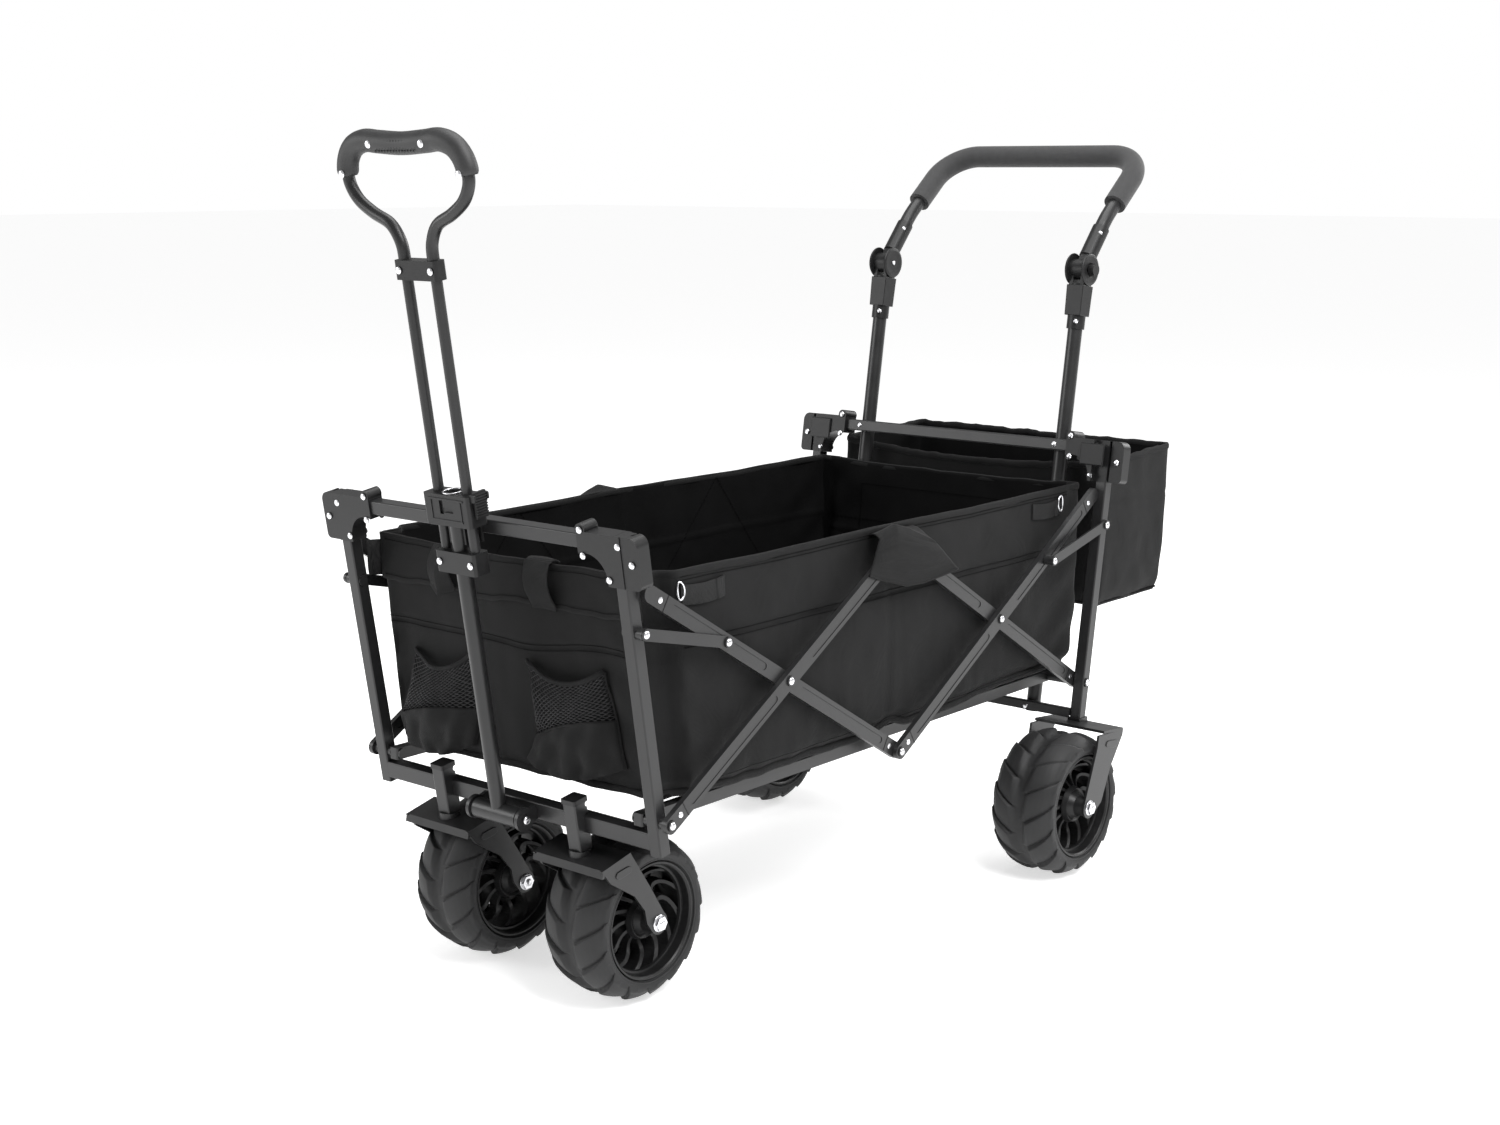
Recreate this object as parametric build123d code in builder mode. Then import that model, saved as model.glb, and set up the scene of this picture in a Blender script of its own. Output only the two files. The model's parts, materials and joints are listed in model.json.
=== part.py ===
from build123d import *
import os
from math import atan2, cos, degrees, hypot, radians, sin

# Folding camp wagon, opened out. Millimetres, +Z up, +Y towards the push handle, +X to the right-hand side.
# The origin is on the ground under the middle of the wagon. The pull handle is at the -Y end.
os.makedirs("parts", exist_ok=True)

# ---- driving dimensions ----
WHEEL_R = 101.6
WHEEL_WIDTH = 98.0
RIM_R = 72.0
RIM_WIDTH = 92.0
LEAN = 9.0  # both end frames lean outwards at the top
TUBE = 17.0  # square frame tube
WALL = 1.5

SCISSOR_RISE = 31.06  # slope of every scissor bar when the wagon is open
LOW_ARM = 246.5  # lower end pivot to crossing
MID_ARM = 263.7  # crossing to either middle pivot
TIP_ARM = 273.0  # crossing to the free top end
BAR_H = 20.0
PIVOT_Z = 257.0
PIVOT_Y = (LOW_ARM + MID_ARM) * cos(radians(SCISSOR_RISE))

# side-by-side layers on the right-hand side, as distances from the middle plane
FRONT_POST = (224.0, 241.0)
INNER_BAR = (241.5, 248.5)
OUTER_BAR = (249.0, 256.0)
REAR_POST = (249.0, 266.0)
FRONT_LINK = (249.0, 252.0)
REAR_LINK = (266.5, 269.5)
PIN_R = 4.0
RUNNING = 0.05  # radial clearance of every pivot
HEAD_R = 6.5
HEAD_T = 2.0

POST_TOP_H = 337.0  # heights called H run up a leaning frame from its lower pivot
CROSS_H = 329.0
FRONT_BAR_H = -23.5
REAR_BAR_H = -48.0
LINK_H = 14.0
LINK_ROOT_H = 228.0
LINK_TIP_ARM = 127.0  # crossing to link pivot, along the bar
GROOVE = 24.0  # how deep the corner connectors are cut where the links fold in

FRONT_WHEEL = (113.5, -366.5)
REAR_WHEEL = (268.5, 355.0)
AXLE_R = 5.0
FORK_GAP = 53.5  # inner face of each fork arm from the wheel's middle
FORK_T = 3.5
PLATE_DEPTH = 50.0
FRONT_PLATE = (-439.0, 196.5)
REAR_PLATE = (417.0, 202.0)
SWIVEL_Y = -440.0
KINGPIN_R = 4.0
STEM_SIZE = 20.5
STEM_FOOT_Z = 201.0
STEM_W = 10.5

HANDLE_LEAN = 8.7
HUB_Y = -460.5
HUB_Z = 226.0
HUB_R = 12.5
EAR_R = 14.5
EAR_T = 5.0
CENTRE_TUBE_R = 9.6
ROD_R = 6.35
ROD_X = 24.0

PUSH_X = 176.0
PUSH_W = -11.0
PUSH_R = 10.5
PUSH_JOINT_H = 590.0
FOAM_R = 16.5

TUB_TOP = 541.0
TUB_FLOOR = 272.0
FLOOR_BAR = 15.0
FLOOR_BAR_FRONT_X = 210.5
FLOOR_BAR_REAR_X = 194.6

SIDES = (("right", 1), ("left", -1))

# ---- reference planes: local x is the world's x, local y runs up the frame, local z faces forwards ----
lean_s = sin(radians(LEAN))
lean_c = cos(radians(LEAN))
front_frame = Plane(origin=(0, -PIVOT_Y, PIVOT_Z), x_dir=(1, 0, 0), z_dir=(0, -lean_c, -lean_s))
rear_frame = Plane(origin=(0, PIVOT_Y, PIVOT_Z), x_dir=(1, 0, 0), z_dir=(0, -lean_c, lean_s))
handle_s = sin(radians(HANDLE_LEAN))
handle_c = cos(radians(HANDLE_LEAN))
handle = Plane(origin=(0, HUB_Y, HUB_Z), x_dir=(1, 0, 0), z_dir=(0, -handle_c, -handle_s))

# ---- scissor geometry, as (y, z) ----
rise_c = cos(radians(SCISSOR_RISE))
rise_s = sin(radians(SCISSOR_RISE))
low_front = (-PIVOT_Y, PIVOT_Z)
cross_front = (-PIVOT_Y + LOW_ARM * rise_c, PIVOT_Z + LOW_ARM * rise_s)
mid_top = (0.0, cross_front[1] + MID_ARM * rise_s)
mid_low = (0.0, cross_front[1] - MID_ARM * rise_s)
tip_front = (cross_front[0] - TIP_ARM * rise_c, cross_front[1] + TIP_ARM * rise_s)
link_tip_front = (cross_front[0] - LINK_TIP_ARM * rise_c, cross_front[1] + LINK_TIP_ARM * rise_s)
link_root_front = (-PIVOT_Y - LINK_ROOT_H * lean_s, PIVOT_Z + LINK_ROOT_H * lean_c)


def mirrored(point):
    """The matching (y, z) point at the other end of the wagon."""
    return (-point[0], point[1])


def up_plane(frame, x, h, w=0.0):
    """A section plane at a place in a frame, facing up the frame."""
    return Plane(origin=frame.from_local_coords((x, h, w)), x_dir=(1, 0, 0), z_dir=frame.y_dir)


def across_plane(frame, x, h, w=0.0):
    """A section plane at a place in a frame, facing +X, with its local x up the frame."""
    return Plane(origin=frame.from_local_coords((x, h, w)), x_dir=frame.y_dir, z_dir=(1, 0, 0))


def side_plane(x):
    """The plane across the wagon at x, with local x along +Y and local y up."""
    return Plane(origin=(x, 0, 0), x_dir=(0, 1, 0), z_dir=(1, 0, 0))


def layer_on(layer, side):
    """A layer's low and high x, on the right (1) or the left (-1)."""
    return (layer[0], layer[1]) if side > 0 else (-layer[1], -layer[0])


def prism(plane, width, height, amount, at=(0, 0), corner=0.0, mode=Mode.ADD):
    """A rectangle drawn on a plane and extruded along its normal."""
    with BuildSketch(plane) as outline:
        with Locations(at):
            if corner:
                RectangleRounded(width, height, corner)
            else:
                Rectangle(width, height)
    extrude(outline.sketch, amount=amount, mode=mode)


def disc(plane, radius, amount, at=(0, 0), mode=Mode.ADD):
    """A circle drawn on a plane and extruded along its normal."""
    with BuildSketch(plane) as outline:
        with Locations(at):
            Circle(radius)
    extrude(outline.sketch, amount=amount, mode=mode)


def rod_x(x_low, x_high, point, radius, mode=Mode.ADD):
    """A round bar along X through a (y, z) point."""
    disc(side_plane(x_low), radius, x_high - x_low, at=point, mode=mode)


def pin_x(x_low, x_high, point, head_low=True, head_high=True):
    """A rivet along X with a domed head at either end."""
    rod_x(x_low, x_high, point, PIN_R)
    if head_low:
        rod_x(x_low - HEAD_T, x_low, point, HEAD_R)
    if head_high:
        rod_x(x_high, x_high + HEAD_T, point, HEAD_R)


def save(made, name):
    made.part.label = name
    export_step(made.part, f"parts/{name}.step")


# ---- end frames: two posts welded to a lower crossbar ----
def add_posts_and_bar(frame, layer, low_h, bar_h, bar_height, bar_depth, bar_w):
    centre = (layer[0] + layer[1]) / 2
    length = 2 * (layer[0] + WALL)
    for side in (1, -1):
        prism(up_plane(frame, side * centre, low_h), TUBE, TUBE, POST_TOP_H - low_h, corner=2.0)
    start = across_plane(frame, -length / 2, bar_h, bar_w)
    prism(start, bar_height, bar_depth, length, corner=2.0)
    prism(start, bar_height - 2 * WALL, bar_depth - 2 * WALL, length, corner=0.5, mode=Mode.SUBTRACT)
    bore = TUBE - 2 * WALL
    for side in (1, -1):
        plane = up_plane(frame, side * centre, low_h)
        prism(plane, bore, bore, POST_TOP_H - low_h, corner=1.0, mode=Mode.SUBTRACT)


with BuildPart() as front_tubes:
    add_posts_and_bar(front_frame, FRONT_POST, -40.5, FRONT_BAR_H, 22.0, TUBE, 0.0)
    for _, side in SIDES:
        prism(up_plane(front_frame, side * FRONT_WHEEL[0], -62, STEM_W), STEM_SIZE, STEM_SIZE, 66, corner=2.0)
    # the stems' feet are cut level above the caster bearings and bored for the kingpins
    prism(Plane.XY.offset(180), 400, 60, STEM_FOOT_Z - 180, at=(0, SWIVEL_Y), mode=Mode.SUBTRACT)
    for _, side in SIDES:
        at = (side * FRONT_WHEEL[0], SWIVEL_Y)
        disc(Plane.XY.offset(STEM_FOOT_Z - 5), KINGPIN_R + RUNNING, 34, at=at, mode=Mode.SUBTRACT)
    for point in (low_front, link_root_front):
        rod_x(-260, 260, point, PIN_R + 0.02, mode=Mode.SUBTRACT)
save(front_tubes, "front_frame_tubes")

with BuildPart() as rear_tubes:
    add_posts_and_bar(rear_frame, REAR_POST, -60.0, REAR_BAR_H, TUBE, 12.0, 6.0)
    # the posts' feet are cut level for the fork plates
    prism(Plane.XY.offset(170), 600, 80, 36.5, at=(0, PIVOT_Y), mode=Mode.SUBTRACT)
    for point in (mirrored(low_front), mirrored(link_root_front)):
        rod_x(-280, 280, point, PIN_R + 0.02, mode=Mode.SUBTRACT)
save(rear_tubes, "rear_frame_tubes")

with BuildPart() as front_cross:
    reach = FRONT_POST[0] - 0.5
    prism(across_plane(front_frame, -reach, CROSS_H), TUBE, TUBE, 2 * reach, corner=2.0)
    prism(across_plane(front_frame, -reach, CROSS_H), TUBE - 3, TUBE - 3, 2 * reach, corner=1.0, mode=Mode.SUBTRACT)
save(front_cross, "front_top_crossbar")

REAR_CROSS_W = 7.0
with BuildPart() as rear_cross:
    reach = REAR_POST[0] - 0.5
    plane = across_plane(rear_frame, -reach, CROSS_H + 6, REAR_CROSS_W)
    prism(plane, TUBE, 13.0, 2 * reach, corner=2.0)
    prism(plane, TUBE - 3, 10.0, 2 * reach, corner=1.0, mode=Mode.SUBTRACT)
save(rear_cross, "rear_top_crossbar")


# ---- corner connectors: moulded gussets that clamp a post and the end of the top crossbar ----
def gusset(plane, post, cross_h, x_from, x_to):
    """The gusset's outline on the right-hand side, kept between two x values."""
    inner = post[0] - 49.0
    outer = post[1] + 23.5
    with BuildSketch(plane) as outline:
        with Locations(((inner + post[0] + 8) / 2, cross_h)):
            Rectangle(post[0] + 8 - inner, 25)
        with Locations(((post[0] - 12 + outer) / 2, cross_h - 17.3)):
            RectangleRounded(outer - post[0] + 12, 59.4, 6)
        with Locations(((post[0] + outer) / 2, cross_h + 7)):
            Rectangle(outer - post[0] - 34, 10.8)
        for x, h in ((post[0] - 42.4, cross_h + 14.3), (post[0] - 41.5, cross_h - 15.2)):
            with Locations((x, h)):
                Circle(7.2)
        with Locations((post[0] - 20.5, cross_h - 24)):
            Rectangle(23, 26)
        with Locations((post[0] - 38, cross_h - 42)):
            Circle(30, mode=Mode.SUBTRACT)
        with Locations((outer - 11, cross_h + 1.4)):
            Rectangle(11, 11.1, align=(Align.MIN, Align.MIN), mode=Mode.SUBTRACT)
            Circle(11)
        with Locations(((x_from + x_to) / 2, cross_h)):
            Rectangle(x_to - x_from, 200, mode=Mode.INTERSECT)
    return outline.sketch


def connector(frame, post, low_h, cross_h, inner_w, outer_w, split, cross_section, groove):
    """A whole right-hand gusset: its two depths, its pockets, its rivets and the groove a short link folds into."""
    for x_from, x_to, depth in ((0, split, inner_w), (split, 400, outer_w)):
        face = Plane(origin=frame.from_local_coords((0, 0, depth[0])), x_dir=(1, 0, 0), z_dir=frame.z_dir)
        extrude(gusset(face, post, cross_h, x_from, x_to), amount=depth[1] - depth[0])
    middle = (post[0] + post[1]) / 2
    size = TUBE + 2 * RUNNING
    prism(up_plane(frame, middle, low_h), size, size, POST_TOP_H + RUNNING - low_h, mode=Mode.SUBTRACT)
    height, depth, cross_w = cross_section
    start = across_plane(frame, 0, cross_h, cross_w)
    prism(start, height + 2 * RUNNING, depth + 2 * RUNNING, post[0] - 0.45, mode=Mode.SUBTRACT)
    rivets = (
        (post[0] - 42.4, cross_h + 14.3, inner_w),
        (post[0] - 41.5, cross_h - 15.2, inner_w),
        (post[0] - 5.2, cross_h - 39.1, inner_w),
        (post[1] + 13.6, cross_h - 17.8, outer_w),
    )
    for x, h, reach in rivets:
        for w, out in ((reach[0] - 1.5, 1), (reach[1], 1)):
            head = Plane(origin=frame.from_local_coords((x, h, w)), x_dir=(1, 0, 0), z_dir=frame.z_dir)
            disc(head, 4.0, 1.5 * out)
    layer, groove_w = groove
    slot_middle = (layer[0] + layer[1]) / 2
    start = up_plane(frame, slot_middle, low_h, groove_w)
    prism(start, layer[1] - layer[0] + 0.8, GROOVE, POST_TOP_H + 10 - low_h, mode=Mode.SUBTRACT)


FRONT_SECTION = (TUBE, TUBE, 0.0)
REAR_SECTION = (TUBE, 13.0, REAR_CROSS_W)

with BuildPart() as front_connector_right:
    connector(front_frame, FRONT_POST, 200, CROSS_H, (-11, 11), (-9, 10), 240, FRONT_SECTION, (FRONT_LINK, -10.6))
save(front_connector_right, "front_connector_right")

with BuildPart() as front_connector_left:
    mirror(front_connector_right.part, about=Plane.YZ)
save(front_connector_left, "front_connector_left")

with BuildPart() as rear_connector_right:
    connector(rear_frame, REAR_POST, 200, CROSS_H + 6, (-9, 19), (-10, 9), 246, REAR_SECTION, (REAR_LINK, 10.6))
save(rear_connector_right, "rear_connector_right")

with BuildPart() as rear_connector_left:
    mirror(rear_connector_right.part, about=Plane.YZ)
save(rear_connector_left, "rear_connector_left")


# ---- scissor bars: pressed flat bars, inner and outer layers, with round ends ----
def bar(side, layer, first, last, holes, own_pins):
    """A flat bar between two (y, z) end pivots, bored where others turn in it or its own pins are set."""
    low, high = layer_on(layer, side)
    length = hypot(last[0] - first[0], last[1] - first[1])
    angle = degrees(atan2(last[1] - first[1], last[0] - first[0]))
    middle = ((first[0] + last[0]) / 2, (first[1] + last[1]) / 2)
    with BuildSketch(side_plane(low)) as outline:
        with Locations(Location((middle[0], middle[1], 0), (0, 0, angle))):
            SlotCenterToCenter(length, BAR_H)
        with Locations(*holes):
            Circle(PIN_R + RUNNING, mode=Mode.SUBTRACT)
        with Locations(*own_pins):
            Circle(PIN_R, mode=Mode.SUBTRACT)
    extrude(outline.sketch, amount=high - low)
    # a shallow channel pressed along each outer face
    run = length - 90
    for level in (low, high - 0.8):
        with BuildSketch(side_plane(level)) as channel:
            for share in (0.25, 0.75):
                at = (first[0] + (last[0] - first[0]) * share, first[1] + (last[1] - first[1]) * share)
                with Locations(Location((at[0], at[1], 0), (0, 0, angle))):
                    SlotOverall(run / 2 - 30, 9)
        extrude(channel.sketch, amount=0.8, mode=Mode.SUBTRACT)


cross_rear = mirrored(cross_front)
tip_rear = mirrored(tip_front)
low_rear = mirrored(low_front)
link_tip_rear = mirrored(link_tip_front)
link_root_rear = mirrored(link_root_front)

for word, side in SIDES:
    with BuildPart() as bar_a2:
        bar(side, OUTER_BAR, low_front, mid_top, [low_front], [cross_front, mid_top])
    save(bar_a2, f"scissor_front_rising_{word}")

    with BuildPart() as bar_a1:
        bar(side, INNER_BAR, tip_front, mid_low, [cross_front], [mid_low])
    save(bar_a1, f"scissor_front_falling_{word}")

    with BuildPart() as bar_b2:
        bar(side, OUTER_BAR, mid_low, tip_rear, [mid_low], [cross_rear])
    save(bar_b2, f"scissor_rear_rising_{word}")

    with BuildPart() as bar_b1:
        bar(side, INNER_BAR, mid_top, low_rear, [mid_top, cross_rear, low_rear], [])
    save(bar_b1, f"scissor_rear_falling_{word}")


def paired_pins(points):
    """One rivet through both layers at each (y, z) point, on both sides."""
    for point in points:
        for _, side in SIDES:
            low, high = layer_on((INNER_BAR[0], OUTER_BAR[1]), side)
            pin_x(low, high, point)


with BuildPart() as a2_pins:
    paired_pins((cross_front, mid_top))
save(a2_pins, "scissor_front_rising_pins")

with BuildPart() as a1_pins:
    paired_pins((mid_low,))
save(a1_pins, "scissor_front_falling_pins")

with BuildPart() as b2_pins:
    paired_pins((cross_rear,))
save(b2_pins, "scissor_rear_rising_pins")


# ---- fixed pivots on the two end frames ----
def frame_pins(post, low_point, link_point, floor_x, bar_layer, link_layer, inner_head):
    for _, side in SIDES:
        low, high = layer_on((floor_x - FLOOR_BAR / 2 - 0.3, max(post[1], bar_layer[1])), side)
        pin_x(low, high, low_point, head_low=side > 0 and inner_head, head_high=side < 0 and inner_head)
        outer_head = layer_on((max(post[1], bar_layer[1]), max(post[1], bar_layer[1]) + HEAD_T), side)
        rod_x(outer_head[0], outer_head[1], low_point, HEAD_R)
        gaps = [(floor_x + FLOOR_BAR / 2 + 0.2, min(post[0], bar_layer[0]) - 0.2)]
        if bar_layer[0] > post[1]:
            gaps.append((post[1], bar_layer[0] - 0.2))
        for gap in gaps:
            gap_low, gap_high = layer_on(gap, side)
            rod_x(gap_low, gap_high, low_point, HEAD_R)
        low, high = layer_on((post[0], link_layer[1] + 0.1), side)
        pin_x(low, high, link_point)
        if link_layer[0] - post[1] > 1:
            low, high = layer_on((post[1], link_layer[0] - 0.1), side)
            rod_x(low, high, link_point, HEAD_R)


with BuildPart() as front_fasteners:
    frame_pins(FRONT_POST, low_front, link_root_front, FLOOR_BAR_FRONT_X, OUTER_BAR, FRONT_LINK, True)
save(front_fasteners, "front_fasteners")

with BuildPart() as rear_fasteners:
    frame_pins(REAR_POST, low_rear, link_root_rear, FLOOR_BAR_REAR_X, INNER_BAR, REAR_LINK, False)
save(rear_fasteners, "rear_fasteners")


# ---- links between each end frame and the free bars ----
def links(layer, root, tip, spacer):
    """A flat link on each side; its tip rivet and spacer belong to it and stop just short of the bar."""
    length = hypot(tip[0] - root[0], tip[1] - root[1])
    angle = degrees(atan2(tip[1] - root[1], tip[0] - root[0]))
    middle = ((root[0] + tip[0]) / 2, (root[1] + tip[1]) / 2)
    for _, side in SIDES:
        low, high = layer_on(layer, side)
        with BuildSketch(side_plane(low)) as outline:
            with Locations(Location((middle[0], middle[1], 0), (0, 0, angle))):
                SlotCenterToCenter(length, LINK_H)
            with Locations(root):
                Circle(PIN_R + RUNNING, mode=Mode.SUBTRACT)
        extrude(outline.sketch, amount=high - low)
        low, high = layer_on((layer[1], layer[1] + HEAD_T), side)
        rod_x(low, high, tip, HEAD_R)
        if spacer:
            low, high = layer_on((layer[0] - spacer, layer[0]), side)
            rod_x(low, high, tip, HEAD_R)


with BuildPart() as front_links:
    links(FRONT_LINK, link_root_front, link_tip_front, 0)
save(front_links, "front_links")

with BuildPart() as rear_links:
    links(REAR_LINK, link_root_rear, link_tip_rear, REAR_LINK[0] - OUTER_BAR[1] - 0.5)
save(rear_links, "rear_links")


# ---- floor bars: square tubes under the tub, hinged on the lower pivots, meeting in the middle ----
def floor_bars(x, pivot, reach):
    """A pair of tubes from a pivot to just short of the wagon's middle."""
    sign = -1 if pivot[0] > 0 else 1
    centre = pivot[0] + sign * (reach / 2 - FLOOR_BAR / 2)
    for _, side in SIDES:
        with BuildSketch(Plane.XY.offset(PIVOT_Z - FLOOR_BAR / 2)) as outline:
            with Locations((side * x, centre)):
                RectangleRounded(FLOOR_BAR, reach, 3)
        extrude(outline.sketch, amount=FLOOR_BAR)
        with BuildSketch(Plane.XY.offset(PIVOT_Z - FLOOR_BAR / 2 + WALL)) as bore:
            with Locations((side * x, centre + sign * 12)):
                Rectangle(FLOOR_BAR - 2 * WALL, reach - 20)
        extrude(bore.sketch, amount=FLOOR_BAR - 2 * WALL, mode=Mode.SUBTRACT)
        rod_x(side * x - 10, side * x + 10, pivot, PIN_R + RUNNING, mode=Mode.SUBTRACT)


with BuildPart() as floor_front:
    floor_bars(FLOOR_BAR_FRONT_X, low_front, PIVOT_Y + FLOOR_BAR / 2 - 1)
save(floor_front, "floor_bars_front")

with BuildPart() as floor_rear:
    floor_bars(FLOOR_BAR_REAR_X, low_rear, PIVOT_Y + FLOOR_BAR / 2 - 1)
save(floor_rear, "floor_bars_rear")


# ---- wheels ----
TYRE_PROFILE = (
    (WHEEL_WIDTH / 2 - 2, RIM_R + RUNNING),
    (WHEEL_WIDTH / 2, 78),
    (WHEEL_WIDTH / 2, 86),
    (44, 94),
    (40, 97),
    (30, 100),
    (14, WHEEL_R),
)


def tyre(centre):
    """A wide, crowned tyre round an axis along X."""
    right = [(x, r) for x, r in TYRE_PROFILE]
    left = [(-x, r) for x, r in reversed(TYRE_PROFILE)]
    origin = (centre[0], centre[1], WHEEL_R)
    with BuildSketch(Plane(origin=origin, x_dir=(1, 0, 0), z_dir=(0, -1, 0))) as section:
        with BuildLine():
            Polyline(*right, *left, close=True)
        make_face()
    revolve(section.sketch, axis=Axis(origin, (1, 0, 0)))


def rim(centre):
    """A deep-dished rim: barrel, web with round windows, and hub."""
    origin = (centre[0], centre[1], WHEEL_R)
    start = centre[0] - RIM_WIDTH / 2
    at = (centre[1], WHEEL_R)
    rod_x(start, start + RIM_WIDTH, at, RIM_R)
    for level in (start, start + RIM_WIDTH / 2 + 5):
        rod_x(level, level + RIM_WIDTH / 2 - 5, at, RIM_R - 5, mode=Mode.SUBTRACT)
    rod_x(centre[0] - FORK_GAP + 0.5, centre[0] + FORK_GAP - 0.5, at, 14)
    with BuildSketch(side_plane(start)) as windows:
        with Locations(at):
            with PolarLocations(41, 10):
                SlotOverall(38, 14)
    extrude(windows.sketch, amount=RIM_WIDTH, mode=Mode.SUBTRACT)
    rod_x(centre[0] - 100, centre[0] + 100, at, AXLE_R + RUNNING, mode=Mode.SUBTRACT)


WHEELS = (
    ("front_right", FRONT_WHEEL),
    ("front_left", (-FRONT_WHEEL[0], FRONT_WHEEL[1])),
    ("rear_right", REAR_WHEEL),
    ("rear_left", (-REAR_WHEEL[0], REAR_WHEEL[1])),
)

for word, centre in WHEELS:
    with BuildPart() as tyre_part:
        tyre(centre)
    save(tyre_part, f"tyre_{word}")

    with BuildPart() as rim_part:
        rim(centre)
    save(rim_part, f"rim_{word}")


# ---- forks: pressed channels over each wheel ----
def fork(x, top, arm):
    """Sloping plate and two arms; both outlines are (y, z) points."""
    half = FORK_GAP + FORK_T
    with BuildSketch(side_plane(x - half)) as plate:
        with BuildLine():
            Polyline(*top, close=True)
        make_face()
    extrude(plate.sketch, amount=2 * half)
    for level in (x - half, x + FORK_GAP):
        with BuildSketch(side_plane(level)) as outline:
            with BuildLine():
                Polyline(*arm, close=True)
            make_face()
        extrude(outline.sketch, amount=FORK_T)


def boss(x, point, radius):
    """Round ends of both arms, bored for the axle."""
    for level in (x - FORK_GAP - FORK_T, x + FORK_GAP):
        rod_x(level, level + FORK_T, point, radius)
    rod_x(x - 80, x + 80, point, AXLE_R, mode=Mode.SUBTRACT)


FRONT_TOP = ((-462, 181), (-458.5, 181), (-457, 187), (-414, 197.5), (-414, 201.5), (-460, 190.5))
FRONT_ARM = (
    (-462, 190),
    (-414, 200),
    (-381, 150),
    (-352.5, 104),
    (-356, 92),
    (-377, 92),
    (-387, 106),
    (-391, 124),
    (-408, 146),
    (-448, 172),
)
REAR_TOP = ((389, 201.5), (442, 196), (442, 200), (389, 205.5))
REAR_ARM = ((376, 201), (442, 197), (441, 190), (409, 148), (387, 103), (366, 90), (344, 92), (341, 106), (372, 182))

for word, side in SIDES:
    with BuildPart() as caster_fork:
        x = side * FRONT_WHEEL[0]
        fork(x, FRONT_TOP, FRONT_ARM)
        boss(x, (FRONT_WHEEL[1], WHEEL_R), 14)
        # bearing cup and kingpin
        disc(Plane.XY.offset(188), 13, STEM_FOOT_Z - 189, at=(x, SWIVEL_Y))
        disc(Plane.XY.offset(STEM_FOOT_Z - 2), KINGPIN_R, 28, at=(x, SWIVEL_Y))
    save(caster_fork, f"caster_fork_{word}")

    with BuildPart() as rear_fork:
        x = side * REAR_WHEEL[0]
        fork(x, REAR_TOP, REAR_ARM)
        boss(x, (REAR_WHEEL[1], WHEEL_R), 15)
        # welded foot under the post
        prism(Plane.XY.offset(199), 20, 22, 7.4, at=(side * (REAR_POST[0] + TUBE / 2), 430))
    save(rear_fork, f"rear_fork_{word}")


def axle(centre):
    """A bolt across the fork with a head and a nut outside the arms."""
    half = FORK_GAP + FORK_T
    at = (centre[1], WHEEL_R)
    rod_x(centre[0] - half - 5, centre[0] + half + 5.5, at, AXLE_R)
    for level, thick in ((centre[0] - half - 5, 5), (centre[0] + half, 5)):
        with BuildSketch(side_plane(level)) as hexagon:
            with Locations(at):
                RegularPolygon(9, 6)
        extrude(hexagon.sketch, amount=thick)


for word, side in SIDES:
    with BuildPart() as front_axle:
        axle((side * FRONT_WHEEL[0], FRONT_WHEEL[1]))
    save(front_axle, f"front_axle_{word}")

with BuildPart() as rear_axles:
    for _, side in SIDES:
        axle((side * REAR_WHEEL[0], REAR_WHEEL[1]))
save(rear_axles, "rear_axles")

with BuildPart() as stem_caps:
    for _, side in SIDES:
        prism(up_plane(front_frame, side * FRONT_WHEEL[0], 4.1, STEM_W), STEM_SIZE + 2.5, STEM_SIZE + 2.5, 6, corner=2.5)
save(stem_caps, "stem_caps")


# ---- pull handle ----
def on_handle(x, along, forward=0.0):
    """A section plane across the pull handle, at a distance up it from the hub."""
    return up_plane(handle, x, along, forward)


HUB_HALF = 36.0
TUBE_END = 398.0
UPPER_COLLAR = (362.0, 399.0)
LOWER_COLLAR = (304.0, 330.0)
CLAMP = (643.0, 665.0)
LEVER_PIN = (41.0, 397.0)
hub_point = (HUB_Y, HUB_Z)

with BuildPart() as pull_centre:
    disc(on_handle(0, 4), CENTRE_TUBE_R, TUBE_END - 4)
    rod_x(-HUB_HALF, HUB_HALF, hub_point, HUB_R)
    rod_x(-HUB_HALF - 3, -HUB_HALF, hub_point, HUB_R - 1)
    rod_x(HUB_HALF, HUB_HALF + 3, hub_point, HUB_R - 1)
    rod_x(-60, 60, hub_point, PIN_R + RUNNING, mode=Mode.SUBTRACT)
    disc(on_handle(0, 13), CENTRE_TUBE_R - WALL, TUBE_END, mode=Mode.SUBTRACT)
save(pull_centre, "pull_centre_tube")

with BuildPart() as hub_bracket:
    # two ears welded to the lower crossbar, and the hub's pin through them
    for start in (-HUB_HALF - 3.5 - EAR_T, HUB_HALF + 3.5):
        with BuildSketch(side_plane(start)) as ear:
            with Locations(hub_point):
                Circle(EAR_R)
            with BuildLine():
                low = front_frame.from_local_coords((0, FRONT_BAR_H - 9, TUBE / 2 + 0.02))
                high = front_frame.from_local_coords((0, FRONT_BAR_H + 9, TUBE / 2 + 0.02))
                points = ((low.Y, low.Z), (high.Y, high.Z), (HUB_Y, HUB_Z + 9.4), (HUB_Y, HUB_Z - 9.4))
                Polyline(*points, close=True)
            make_face()
        extrude(ear.sketch, amount=EAR_T)
    pin_x(-HUB_HALF - 3.5 - EAR_T, HUB_HALF + 3.5 + EAR_T, hub_point)
save(hub_bracket, "handle_hub_bracket")


def on_face(place, forward):
    """A plane facing the front of the handle, centred on an (x, along) place."""
    origin = handle.from_local_coords((place[0], place[1], forward))
    return Plane(origin=origin, x_dir=(1, 0, 0), z_dir=handle.z_dir)


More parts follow.
